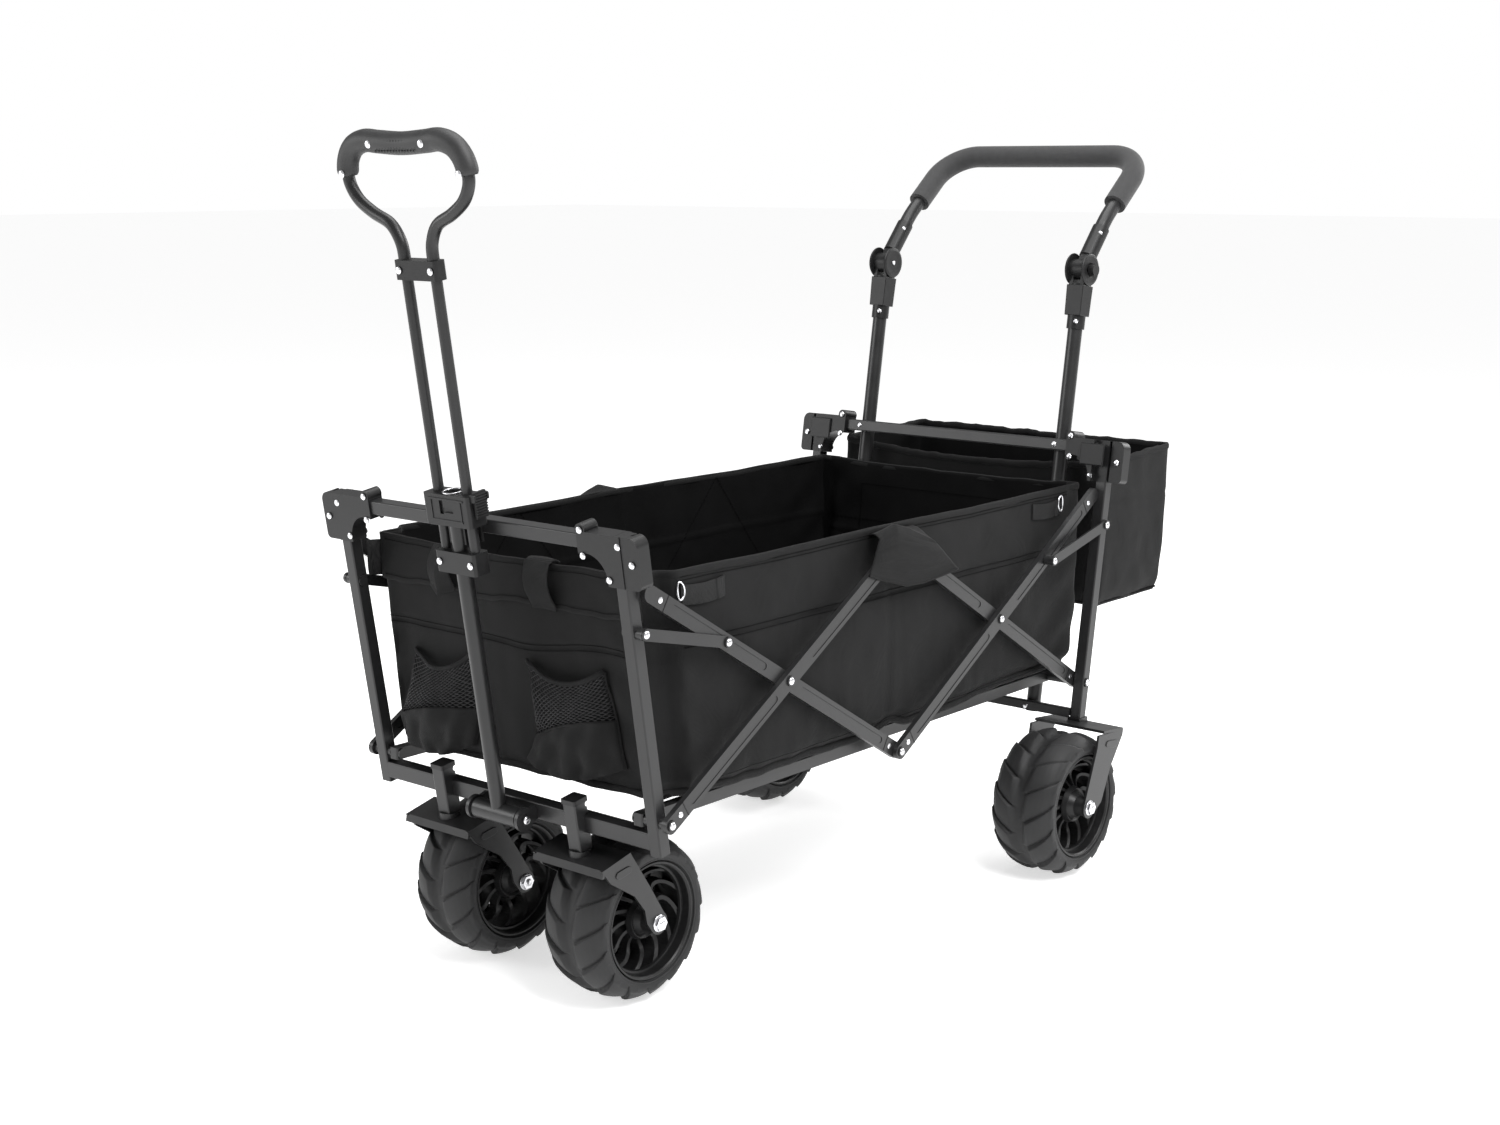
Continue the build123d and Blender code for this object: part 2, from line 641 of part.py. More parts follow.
def collar(span, half, depth, bore_centre, bore_rod, rivets):
    """A moulded block across the centre tube and both rods."""
    prism(on_handle(0, span[0]), 2 * half, depth, span[1] - span[0], corner=4)
    if bore_centre:
        disc(on_handle(0, span[0] - 5), bore_centre, 60, mode=Mode.SUBTRACT)
    for side in (1, -1):
        disc(on_handle(side * ROD_X, span[0] - 5), bore_rod, 60, mode=Mode.SUBTRACT)
    for x in rivets:
        disc(on_face((x, (span[0] + span[1]) / 2), depth / 2), 3.6, 1.4)


with BuildPart() as upper_collar:
    collar(UPPER_COLLAR, 38, 27, CENTRE_TUBE_R + 0.01, ROD_R + RUNNING, ())
    # window showing the catch
    window = on_face((0, 381), 11)
    prism(window, 22, 6, 6, mode=Mode.SUBTRACT)
    prism(window, 6, 16, 6, at=(-8, 3), mode=Mode.SUBTRACT)
    # ears for the lever's pin
    for w in (-13.0, 7.0):
        ear = on_face(LEVER_PIN, w)
        prism(ear, 9, 9, 2.5, corner=2)
        disc(ear, 2.0, 2.5, mode=Mode.SUBTRACT)
save(upper_collar, "pull_upper_collar")

with BuildPart() as lock_lever:
    disc(on_face(LEVER_PIN, -13.0), 2.0 - RUNNING, 22.5)
    barrel = on_face(LEVER_PIN, -10.3)
    disc(barrel, 2.3, 17.1)
    prism(barrel, 4, 31, 17.1, at=(0.6, -8.5))
    for step in range(9):
        prism(barrel, 1.6, 1.6, 17.1, at=(3.2, 4.4 - 3.2 * step))
save(lock_lever, "lock_lever")

with BuildPart() as lower_collar:
    collar(LOWER_COLLAR, 33, 24, CENTRE_TUBE_R + RUNNING, ROD_R, (-26, 26))
save(lower_collar, "pull_lower_collar")

with BuildPart() as pull_rods:
    for side in (1, -1):
        disc(on_handle(side * ROD_X, LOWER_COLLAR[0] + 2), ROD_R, CLAMP[1] - LOWER_COLLAR[0] - 4)
save(pull_rods, "pull_rods")

with BuildPart() as pull_clamp:
    collar(CLAMP, 34, 17, 0, ROD_R, (-26, 26))
save(pull_clamp, "pull_clamp")

with BuildPart() as pull_grip:
    grip_plane = Plane(origin=handle.origin, x_dir=(1, 0, 0), z_dir=handle.z_dir)
    with BuildSketch(grip_plane.offset(-10)) as loop:
        with BuildLine():
            outer = ((0, 799), (84, 799), (103, 790), (111, 771), (105, 740), (76, 712), (38, 686), (34, 665.2))
            inner = ((15, 665.2), (20, 688), (54, 716), (79, 742), (86, 758), (78, 772), (0, 772))
            Polyline(*outer, *inner, close=True)
        make_face()
        mirror(about=Plane.YZ)
    extrude(loop.sketch, amount=20)
    prism(grip_plane.offset(-8), 60, 4, 16, at=(0, 667.4))
save(pull_grip, "pull_grip")

with BuildPart() as dock:
    # an open clip on the top crossbar that holds the centre tube
    clip_h = CROSS_H - 3
    gap = front_frame.from_local_coords((0, clip_h, TUBE / 2))
    with BuildSketch(up_plane(handle, 0, 338)) as clip:
        back = handle.to_local_coords(gap).Z
        with Locations((0, -(back + 2.0))):
            Rectangle(44, 3.2)
        for side in (1, -1):
            with Locations((side * 12.0, -(back + 12.0) / 1.0 + 0.5)):
                Rectangle(3.2, 18)
    extrude(clip.sketch, amount=20)
save(dock, "handle_dock")


# ---- push handle ----
push_joint = rear_frame.from_local_coords((0, PUSH_JOINT_H, PUSH_W))
joint_point = (push_joint.Y, push_joint.Z)
LEG_RISE = (64.0, 73.0)
LEG_ANGLE = degrees(atan2(*LEG_RISE))  # of the short lower leg from vertical
BEND = (joint_point[0] + LEG_RISE[0], joint_point[1] + LEG_RISE[1])
BAR_END = (joint_point[0] + 173, joint_point[1] + 162)
JOINT_R = 15.0
TONGUE = 6.0

with BuildPart() as push_lower:
    for _, side in SIDES:
        disc(up_plane(rear_frame, side * PUSH_X, -56, PUSH_W), PUSH_R, PUSH_JOINT_H + 56 - 24)
        start = up_plane(rear_frame, side * PUSH_X, -57, PUSH_W)
        disc(start, PUSH_R - WALL, PUSH_JOINT_H + 56 - 25, mode=Mode.SUBTRACT)
save(push_lower, "push_lower_tubes")

for word, side in SIDES:
    x = side * PUSH_X
    with BuildPart() as lower_joint:
        disc(up_plane(rear_frame, x, PUSH_JOINT_H - 86, PUSH_W), 13.0, 65)
        disc(up_plane(rear_frame, x, PUSH_JOINT_H - 88, PUSH_W), PUSH_R + 0.01, 64.1, mode=Mode.SUBTRACT)
        for start in (x - TONGUE - 6.1, x + TONGUE + 0.1):
            rod_x(start, start + 6, joint_point, JOINT_R)
            with BuildSketch(across_plane(rear_frame, start, PUSH_JOINT_H - 12, PUSH_W)) as web:
                Rectangle(24, 22)
            extrude(web.sketch, amount=6)
        if side > 0:
            rod_x(x - 30, x + 30, joint_point, 5.0 + RUNNING, mode=Mode.SUBTRACT)
        else:
            # the left-hand pivot is a plain rivet set in both cheeks
            rod_x(x - TONGUE - 8.5, x + TONGUE + 8.5, joint_point, 5.0)
            for start in (x - TONGUE - 8.5, x + TONGUE + 6.1):
                rod_x(start, start + 2.4, joint_point, 8)
    save(lower_joint, f"push_joint_lower_{word}")

leg_dir = Vector(0, sin(radians(LEG_ANGLE)), cos(radians(LEG_ANGLE)))


def leg_plane(x, along):
    """A section plane across the short leg above a push joint."""
    origin = Vector(x, joint_point[0], joint_point[1]) + leg_dir * along
    return Plane(origin=origin, x_dir=(1, 0, 0), z_dir=leg_dir)


for word, side in SIDES:
    x = side * PUSH_X
    with BuildPart() as upper_joint:
        rod_x(x - TONGUE, x + TONGUE, joint_point, JOINT_R)
        prism(leg_plane(x, 0), 2 * TONGUE, 20, 26)
        disc(leg_plane(x, 22), 12.5, 54)
        disc(leg_plane(x, 26.9), PUSH_R + 0.01, 52, mode=Mode.SUBTRACT)
        rod_x(x - 30, x + 30, joint_point, 5.0 + RUNNING, mode=Mode.SUBTRACT)
    save(upper_joint, f"push_joint_upper_{word}")

hoop_up = Vector(0, BAR_END[0] - BEND[0], BAR_END[1] - BEND[1]).normalized()


def hoop_path(start_x):
    """The hoop's centre line from one leg over the top bar to the other."""
    top = BAR_END
    corner = 56.0
    turn = Vector(0, top[0], top[1]) - hoop_up * corner
    side_point = (start_x, turn.Y, turn.Z)
    inner_x = start_x - corner
    return side_point, (inner_x, top[0], top[1])


with BuildPart() as push_hoop:
    side_r, bar_r = hoop_path(PUSH_X)
    with BuildLine() as path:
        a = leg_plane(PUSH_X, 27).origin
        b = Vector(PUSH_X, BEND[0], BEND[1])
        c = Vector(*side_r)
        bend_a = b - leg_dir * 14
        bend_b = b + hoop_up * 14
        Line(a, bend_a)
        TangentArc(bend_a, bend_b, tangent=leg_dir)
        Line(bend_b, c)
        e = Vector(*bar_r)
        TangentArc(c, e, tangent=hoop_up)
        f = Vector(-e.X, e.Y, e.Z)
        Line(e, f)
        g = Vector(-c.X, c.Y, c.Z)
        TangentArc(f, g, tangent=(-1, 0, 0))
        h = Vector(-bend_b.X, bend_b.Y, bend_b.Z)
        i = Vector(-bend_a.X, bend_a.Y, bend_a.Z)
        Line(g, h)
        TangentArc(h, i, tangent=hoop_up * -1)
        Line(i, Vector(-a.X, a.Y, a.Z))
    with BuildSketch(leg_plane(PUSH_X, 27)) as section:
        Circle(PUSH_R)
        Circle(PUSH_R - WALL, mode=Mode.SUBTRACT)
    sweep(section.sketch, path=path.line)
save(push_hoop, "push_hoop")

with BuildPart() as push_foam:
    with BuildLine() as foam_line:
        start = Vector(PUSH_X, BEND[0], BEND[1]) + hoop_up * 30
        c = Vector(*side_r)
        Line(start, c)
        TangentArc(c, Vector(*bar_r), tangent=hoop_up)
        Line(Vector(*bar_r), Vector(-bar_r[0], bar_r[1], bar_r[2]))
        TangentArc(Vector(-bar_r[0], bar_r[1], bar_r[2]), Vector(-c.X, c.Y, c.Z), tangent=(-1, 0, 0))
        Line(Vector(-c.X, c.Y, c.Z), Vector(-start.X, start.Y, start.Z))
    with BuildSketch(Plane(origin=start, x_dir=(1, 0, 0), z_dir=hoop_up)) as sleeve:
        Circle(FOAM_R)
        Circle(PUSH_R + 0.02, mode=Mode.SUBTRACT)
    sweep(sleeve.sketch, path=foam_line.line)
save(push_foam, "push_foam_grip")

with BuildPart() as push_button:
    # the button's stem reaches through both cheeks, its head stands proud on the right
    rod_x(PUSH_X - TONGUE - 4, PUSH_X + TONGUE + 12, joint_point, 5.0)
    rod_x(PUSH_X + TONGUE + 9.6, PUSH_X + TONGUE + 18, joint_point, 9.0)
save(push_button, "push_button")

# ---- soft goods ----
TUB_X = 234.0
TUB_FRONT = (-425.0, -452.0)  # the end walls lean outwards: y at the floor and at the top edge
TUB_BACK = (430.0, 461.0)
TUB_STEP = (219.0, -418.0)  # the front corners step in behind the posts
TUB_WALL = 6.0
TUB_BOTTOM = 8.0


def lean_at(ends, z):
    """Where a leaning end wall stands at a height."""
    return ends[0] + (ends[1] - ends[0]) * (z - TUB_FLOOR) / (TUB_TOP - TUB_FLOOR)


def tub_block(inset, low, high):
    """The tub's block between two heights, moved in from the outside all round."""
    half = TUB_X - inset
    with BuildSketch(side_plane(-half)) as profile:
        with BuildLine():
            front_low = (lean_at(TUB_FRONT, low) + inset, low)
            back_low = (lean_at(TUB_BACK, low) - inset, low)
            back_high = (lean_at(TUB_BACK, high) - inset, high)
            front_high = (lean_at(TUB_FRONT, high) + inset, high)
            Polyline(front_low, back_low, back_high, front_high, close=True)
        make_face()
    extrude(profile.sketch, amount=2 * half)
    with BuildSketch(Plane.XY.offset(low - 1)) as steps:
        for side in (1, -1):
            with Locations((side * (TUB_STEP[0] - inset + 50), TUB_STEP[1] + inset - 50)):
                Rectangle(100, 100)
    extrude(steps.sketch, amount=high - low + 2, mode=Mode.SUBTRACT)


with BuildPart() as tub_space:
    tub_block(TUB_WALL, TUB_FLOOR + TUB_BOTTOM, TUB_TOP + 5)

with BuildPart() as tub:
    tub_block(0, TUB_FLOOR, TUB_TOP)
    add(tub_space.part, mode=Mode.SUBTRACT)
save(tub, "tub")

BASKET = (235.0, 515.0, 723.0, 702.0, 350.0, 572.0)  # half width, front, back at the top and bottom, bottom, top
with BuildPart() as basket:
    half, front, back_top, back_low, low_z, top_z = BASKET
    with BuildSketch(side_plane(-half)) as profile:
        with BuildLine():
            Polyline((front, low_z), (back_low, low_z), (back_top, top_z), (front, top_z), close=True)
        make_face()
    extrude(profile.sketch, amount=2 * half)
    with BuildSketch(side_plane(-half + 4)) as hollow:
        with BuildLine():
            points = ((front + 4, low_z + 5), (back_low - 4, low_z + 5), (back_top - 3.5, top_z + 5), (front + 4, top_z + 5))
            Polyline(*points, close=True)
        make_face()
    extrude(hollow.sketch, amount=2 * half - 8, mode=Mode.SUBTRACT)
save(basket, "rear_basket")
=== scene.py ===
import json
import math

import bpy
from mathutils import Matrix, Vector, noise


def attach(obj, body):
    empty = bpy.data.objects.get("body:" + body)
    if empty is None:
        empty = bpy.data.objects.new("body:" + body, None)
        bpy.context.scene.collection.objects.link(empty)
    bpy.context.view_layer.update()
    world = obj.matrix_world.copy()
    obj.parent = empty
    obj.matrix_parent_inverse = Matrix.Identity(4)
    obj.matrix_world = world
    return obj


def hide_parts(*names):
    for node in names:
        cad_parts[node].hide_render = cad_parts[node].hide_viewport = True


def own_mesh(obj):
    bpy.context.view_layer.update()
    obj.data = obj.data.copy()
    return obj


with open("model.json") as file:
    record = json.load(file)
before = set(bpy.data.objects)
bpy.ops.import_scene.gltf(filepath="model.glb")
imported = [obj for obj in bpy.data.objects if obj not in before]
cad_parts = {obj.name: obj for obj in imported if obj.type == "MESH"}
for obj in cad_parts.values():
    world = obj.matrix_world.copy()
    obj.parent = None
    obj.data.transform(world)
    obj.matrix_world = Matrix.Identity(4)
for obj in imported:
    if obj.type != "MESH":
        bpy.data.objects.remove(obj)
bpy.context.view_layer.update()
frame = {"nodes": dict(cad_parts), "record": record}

# Folding camp wagon: looks. Metres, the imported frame's axes. The pull handle is at the -Y end.

# ---- shared places, the same as the frame's ----
LEAN = math.radians(9.0)
LS, LC = math.sin(LEAN), math.cos(LEAN)
RISE = math.radians(31.06)
BAR_ROOT = 0.2465  # along a scissor bar: from its frame's pivot to the crossing,
BAR_HEAD = 0.2637  # from the crossing to a middle pivot,
BAR_TIP = 0.273  # from the crossing to the free tip,
LINK_AT = 0.127  # and from the crossing to the short link's rivet
PIVOT_Y = (BAR_ROOT + BAR_HEAD) * math.cos(RISE)
PIVOT_Z = 0.257
HLEAN = math.radians(8.7)
HS, HC = math.sin(HLEAN), math.cos(HLEAN)
HUB = (-0.4605, 0.226)
LOW_F = (-PIVOT_Y, PIVOT_Z)
CROSS_F = (-PIVOT_Y + BAR_ROOT * math.cos(RISE), PIVOT_Z + BAR_ROOT * math.sin(RISE))
MID_TOP = (0.0, CROSS_F[1] + BAR_HEAD * math.sin(RISE))
MID_LOW = (0.0, CROSS_F[1] - BAR_HEAD * math.sin(RISE))
TIP_F = (CROSS_F[0] - BAR_TIP * math.cos(RISE), CROSS_F[1] + BAR_TIP * math.sin(RISE))


def front(x, h, w=0.0):
    """A place in the front end frame: across, up it, and forwards of it."""
    return Vector((x, -PIVOT_Y - h * LS - w * LC, PIVOT_Z + h * LC - w * LS))


def rear(x, h, w=0.0):
    """The same in the rear end frame; w is still towards the front of the wagon."""
    return Vector((x, PIVOT_Y + h * LS - w * LC, PIVOT_Z + h * LC + w * LS))


def handle(x, a, w=0.0):
    """A place on the pull handle: across, up it from the hub, forwards of it."""
    return Vector((x, HUB[0] - a * HS - w * HC, HUB[1] + a * HC - w * HS))


FRONT_OUT = Vector((0, -LC, -LS))
REAR_OUT = Vector((0, -LC, LS))
HANDLE_OUT = Vector((0, -HC, -HS))


SIDES = (("right", 1), ("left", -1))


# ---- materials ----
def material(name, dark, light, rough, rough_var=0.08, scale=60.0, bump=0.0, bump_scale=900.0, bump_dist=0.0004,
             metal=0.0, sheen=0.0, weave=0.0, coat=0.0, spec=0.5):
    m = bpy.data.materials.new(name)
    m.use_nodes = True
    tree = m.node_tree
    nodes, links = tree.nodes, tree.links
    shader = nodes["Principled BSDF"]
    shader.inputs["Metallic"].default_value = metal
    shader.inputs["Specular IOR Level"].default_value = spec
    shader.inputs["Sheen Weight"].default_value = sheen
    shader.inputs["Sheen Roughness"].default_value = 0.5
    shader.inputs["Coat Weight"].default_value = coat
    shader.inputs["Coat Roughness"].default_value = 0.3
    coords = nodes.new("ShaderNodeTexCoord")
    cloud = nodes.new("ShaderNodeTexNoise")
    cloud.inputs["Scale"].default_value = scale
    cloud.inputs["Detail"].default_value = 5.0
    links.new(coords.outputs["Object"], cloud.inputs["Vector"])
    ramp = nodes.new("ShaderNodeValToRGB")
    ramp.color_ramp.elements[0].position = 0.3
    ramp.color_ramp.elements[1].position = 0.7
    ramp.color_ramp.elements[0].color = (dark, dark, dark * 1.03, 1)
    ramp.color_ramp.elements[1].color = (light, light, light * 1.03, 1)
    links.new(cloud.outputs["Fac"], ramp.inputs["Fac"])
    links.new(ramp.outputs["Color"], shader.inputs["Base Color"])
    spread = nodes.new("ShaderNodeMapRange")
    spread.inputs["To Min"].default_value = rough - rough_var
    spread.inputs["To Max"].default_value = rough + rough_var
    links.new(cloud.outputs["Fac"], spread.inputs["Value"])
    links.new(spread.outputs["Result"], shader.inputs["Roughness"])
    if bump:
        grain = nodes.new("ShaderNodeTexNoise")
        grain.inputs["Scale"].default_value = bump_scale
        grain.inputs["Detail"].default_value = 3.0
        links.new(coords.outputs["Object"], grain.inputs["Vector"])
        height = grain.outputs["Fac"]
        if weave:
            for direction in ("X", "Z"):
                wave = nodes.new("ShaderNodeTexWave")
                wave.bands_direction = direction
                wave.inputs["Scale"].default_value = weave
                wave.inputs["Distortion"].default_value = 0.6
                links.new(coords.outputs["Object"], wave.inputs["Vector"])
                mix = nodes.new("ShaderNodeMath")
                mix.operation = "ADD"
                links.new(height, mix.inputs[0])
                links.new(wave.outputs["Fac"], mix.inputs[1])
                height = mix.outputs["Value"]
        relief = nodes.new("ShaderNodeBump")
        relief.inputs["Strength"].default_value = bump
        relief.inputs["Distance"].default_value = bump_dist
        links.new(height, relief.inputs["Height"])
        links.new(relief.outputs["Normal"], shader.inputs["Normal"])
    return m


PAINT = material("frame_paint", 0.0125, 0.0165, 0.34, 0.05, 40, bump=0.15, bump_scale=2600,
                 bump_dist=0.0002, spec=0.38)
PLASTIC = material("black_plastic", 0.0075, 0.0105, 0.40, 0.06, 80, bump=0.2, bump_scale=3200,
                   bump_dist=0.0002, spec=0.30)
STEEL = material("bright_steel", 0.72, 0.85, 0.28, 0.08, 150, bump=0.1, bump_scale=1500, metal=1.0)
TYRE = material("tyre_rubber", 0.0125, 0.0185, 0.58, 0.08, 30, bump=0.3, bump_scale=1800, bump_dist=0.0003,
                spec=0.30)
FOAM = material("foam", 0.018, 0.026, 0.78, 0.05, 120, bump=0.5, bump_scale=2200, bump_dist=0.0005, sheen=0.1)
GRIP = material("grip_rubber", 0.012, 0.018, 0.55, 0.06, 90, bump=0.3, bump_scale=2000, bump_dist=0.0003)
CLOTH = material("tub_cloth", 0.0040, 0.0062, 0.74, 0.06, 25, bump=0.35, bump_scale=1400,
                 sheen=0.02, weave=420.0, spec=0.16)
# a darker copy of the tub cloth for the inside faces and floors: painted shade inside the tub and basket
SHADED_CLOTH = material("tub_cloth_painted_shade", 0.0022, 0.0036, 0.85, 0.05, 25, bump=0.3, bump_scale=1400,
                  weave=420.0, spec=0.08)
BINDING = material("binding", 0.0050, 0.0085, 0.75, 0.06, 60, bump=0.5, weave=900.0, spec=0.2)
WEBBING = material("webbing", 0.0070, 0.0125, 0.66, 0.06, 60, bump=1.0, bump_scale=500, bump_dist=0.0012,
                   weave=230.0, spec=0.25)
NET = material("net", 0.022, 0.034, 0.45, 0.05, 60, bump=0.2, spec=0.5)
THREAD = material("thread", 0.0012, 0.0022, 0.7, 0.05, 60, bump=0.2, spec=0.05)

SLOT_MATERIAL = {
    "frame_paint": PAINT,
    "black_plastic": PLASTIC,
    "bright_steel": STEEL,
    "tyre_rubber": TYRE,
    "foam": FOAM,
    "grip_rubber": GRIP,
    "tub_fabric": CLOTH,
}
SLOT_OF = {mat.name: slot for slot, mat in SLOT_MATERIAL.items()}


def lean(p):
    """Lean the tub's ends outwards: its upright shape, carried over by height near either end."""
    drop = min(1.05, max(-0.1, (TUB_HIGH - p[2]) / (TUB_HIGH - TUB_HEM)))
    share = ease((abs(p[1]) - 0.25) / 0.15)
    if p[1] < 0:
        return Vector((p[0], p[1] + FRONT_LEAN * drop * share, p[2]))
    # the rear corners hang nearly straight and turn in low down
    power = 1.0 + 4.0 * ease((abs(p[0]) - 0.198) / 0.03)
    return Vector((p[0], p[1] - BACK_LEAN * max(0.0, drop) ** power * share, p[2]))


def piece(name, verts, faces, mat, body, smooth=True, solid=0.0, offset=-1.0, soft=False):
    """A mesh that rides a body. Soft ones lean with the tub's ends."""
    if soft:
        verts = [lean(v) for v in verts]
    mesh = bpy.data.meshes.new(name)
    mesh.from_pydata([tuple(v) for v in verts], [], faces)
    mesh.validate()
    for p in mesh.polygons:
        p.use_smooth = smooth
    mesh.materials.append(mat)
    o = bpy.data.objects.new(name, mesh)
    bpy.context.scene.collection.objects.link(o)
    if solid:
        s = o.modifiers.new("thick", "SOLIDIFY")
        s.thickness = solid
        s.offset = offset
        s.use_even_offset = False
    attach(o, body)
    SLOT_OF.get(mat.name, "tub_fabric")
    if soft:
        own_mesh(o)
    return o


def add_bevel(o, width, angle=40.0):
    b = o.modifiers.new("edge", "BEVEL")
    b.width = width
    b.segments = 2
    b.limit_method = "ANGLE"
    b.angle_limit = math.radians(angle)
    b.harden_normals = False


def grid_faces(nu, nv, closed=False):
    """Faces between nu columns of nv points; closed joins the last column to the first."""
    faces = []
    for i in range(nu if closed else nu - 1):
        for j in range(nv - 1):
            a, b = i * nv + j, (i + 1) % nu * nv + j
            faces.append((a, b, b + 1, a + 1))
    return faces


def loop_faces(n, sides):
    """Faces of n rings of points, closed both ways."""
    faces = []
    for i in range(n):
        here, there = i * sides, (i + 1) % n * sides
        for k in range(sides):
            faces.append((here + k, there + k, there + (k + 1) % sides, here + (k + 1) % sides))
    return faces


def grid(name, fn, nu, nv, mat, body, **kw):
    verts = [fn(i / (nu - 1), j / (nv - 1)) for i in range(nu) for j in range(nv)]
    return piece(name, verts, grid_faces(nu, nv), mat, body, **kw)


def cloth_grid(name, fn, nu, nv, mat, soft=True, **kw):
    """A sheet of the tub's cloth."""
    return grid(name, fn, nu, nv, mat, "front_frame", soft=soft, **kw)


def smooth_path(points, per=6):
    """Catmull-Rom through the points."""
    p = [Vector(q) for q in points]
    p = [p[0] * 2 - p[1]] + p + [p[-1] * 2 - p[-2]]
    out = []
    for i in range(1, len(p) - 2):
        a, b, c, d = p[i - 1:i + 3]
        for k in range(per):
            t = k / per
            out.append(0.5 * ((2 * b) + (c - a) * t + (2 * a - 5 * b + 4 * c - d) * t * t
                              + (3 * b - a - 3 * c + d) * t * t * t))
    out.append(p[-2])
    return out


def sweep(path, section, ring=16):
    """Verts and faces of a tube along a path; section(i, angle) gives the local offset (side, up)."""
    n = len(path)
    tangents = []
    for i in range(n):
        tangents.append((path[min(i + 1, n - 1)] - path[max(i - 1, 0)]).normalized())
    up = Vector((0, 0, 1)) if abs(tangents[0].z) < 0.9 else Vector((0, 1, 0))
    side = tangents[0].cross(up).normalized()
    verts, faces = [], []
    for i in range(n):
        side = (side - tangents[i] * side.dot(tangents[i])).normalized()
        upward = side.cross(tangents[i])
        for k in range(ring):
            a, b = section(i / (n - 1), math.tau * k / ring)
            verts.append(path[i] + side * a + upward * b)
    for i in range(n - 1):
        for k in range(ring):
            a, b = i * ring + k, i * ring + (k + 1) % ring
            faces.append((a, b, b + ring, a + ring))
    faces.append(tuple(reversed(range(ring))))
    faces.append(tuple(range((n - 1) * ring, n * ring)))
    return verts, faces


def oval(side, up):
    return lambda t, a: (side * math.cos(a), up * math.sin(a))


def tube(name, path, radius, mat, body, ring=16, **kw):
    section = radius if callable(radius) else oval(radius, radius)
    verts, faces = sweep([Vector(p) for p in path], section, ring)
    return piece(name, verts, faces, mat, body, **kw)


def cloth_tube(name, path, section, mat, soft=True):
    """A thin roll along an edge of the tub's cloth."""
    return tube(name, path, section, mat, "front_frame", ring=8, soft=soft)


def revolve_x(centre, profile, n=64):
    """Verts and faces of a closed (x, r) profile turned about the X axis through centre."""
    m = len(profile)
    verts = []
    for i in range(n):
        a = math.tau * i / n
        for x, r in profile:
            verts.append((centre[0] + x, centre[1] + r * math.cos(a), centre[2] + r * math.sin(a)))
    return verts, loop_faces(n, m)


def merge(parts):
    verts, faces = [], []
    for v, f in parts:
        base = len(verts)
        verts += list(v)
        faces += [tuple(base + k for k in face) for face in f]
    return verts, faces


def combine(name, parts, mat, body, **kw):
    """One piece made of several shapes."""
    verts, faces = merge(parts)
    return piece(name, verts, faces, mat, body, **kw)


def rivets(name, domes, body):
    return combine(name, domes, STEEL, body)


def basis(normal, hint=Vector((0, 0, 1))):
    n = Vector(normal).normalized()
    side = hint.cross(n)
    if side.length < 1e-4:
        side = Vector((1, 0, 0)).cross(n)
    side.normalize()
    return side, n.cross(side), n


def dome(at, normal, radius, height, n=14, rings=3):
    side, up, out = basis(normal)
    verts, faces = [], []
    for r in range(rings + 1):
        t = r / rings
        rad = radius * math.cos(t * math.pi / 2 * 0.96)
        lift = height * math.sin(t * math.pi / 2)
        for k in range(n):
            a = math.tau * k / n
            verts.append(at + side * (rad * math.cos(a)) + up * (rad * math.sin(a)) + out * lift)
    for r in range(rings):
        for k in range(n):
            a, b = r * n + k, r * n + (k + 1) % n
            faces.append((a, b, b + n, a + n))
    faces.append(tuple(range(rings * n, rings * n + n)))
    return verts, faces


def block(centre, axes, size, taper=1.0):
    """Verts and faces of a box on three unit axes, size its full lengths; taper scales the far end."""
    verts = []
    for k in (-0.5, 0.5):
        share = taper if k > 0 else 1.0
        for i, j in ((-0.5, -0.5), (0.5, -0.5), (0.5, 0.5), (-0.5, 0.5)):
            verts.append(centre + axes[0] * (i * size[0] * share) + axes[1] * (j * size[1] * share)
                         + axes[2] * (k * size[2]))
    faces = [(3, 2, 1, 0), (4, 5, 6, 7), (0, 1, 5, 4), (1, 2, 6, 5), (2, 3, 7, 6), (3, 0, 4, 7)]
    return verts, faces


def plate(outline, base, axes, thick):
    """A flat outline [(a, b)] on two axes, given a thickness along the third."""
    n = len(outline)
    verts = [base + axes[0] * a + axes[1] * b for a, b in outline]
    verts += [v + axes[2] * thick for v in verts]
    faces = [tuple(reversed(range(n))), tuple(range(n, 2 * n))]
    faces += [(i, (i + 1) % n, (i + 1) % n + n, i + n) for i in range(n)]
    return verts, faces


def within(value, limit):
    return max(-limit, min(limit, value))


def along(points, u):
    """A place on a polyline of pairs."""
    k = u * (len(points) - 1)
    i = min(int(k), len(points) - 2)
    f = k - i
    return tuple(points[i][q] + (points[i + 1][q] - points[i][q]) * f for q in (0, 1))


def wobble(x, y, z, scale, seed=0.0):
    return noise.noise(Vector((x * scale + seed, y * scale - seed, z * scale + 2 * seed)))


def arch(t):
    """Half a wave: none at 0 and 1, full at a half."""
    return math.sin(math.pi * t)


def bell(value, centre, width):
    return math.exp(-(((value - centre) / width) ** 2))


def ease(t):
    t = min(1.0, max(0.0, t))
    return t * t * (3 - 2 * t)


X, Y, Z = Vector((1, 0, 0)), Vector((0, 1, 0)), Vector((0, 0, 1))

# ---- finish on the CAD nodes that stay shown ----
record = frame["record"]
for entry in record["subparts"]:
    node = frame["nodes"][entry["node"]]
    node.data.materials.clear()
    node.data.materials.append(SLOT_MATERIAL[entry["material_slot"]])
    if entry["node"] in ("tub", "rear_basket", "pull_grip") or entry["node"].startswith(("tyre", "rim")):
        continue
    round_name = entry["node"] in ("push_hoop", "push_foam_grip", "pull_rods")
    add_bevel(node, 0.0004 if round_name else 0.0009)


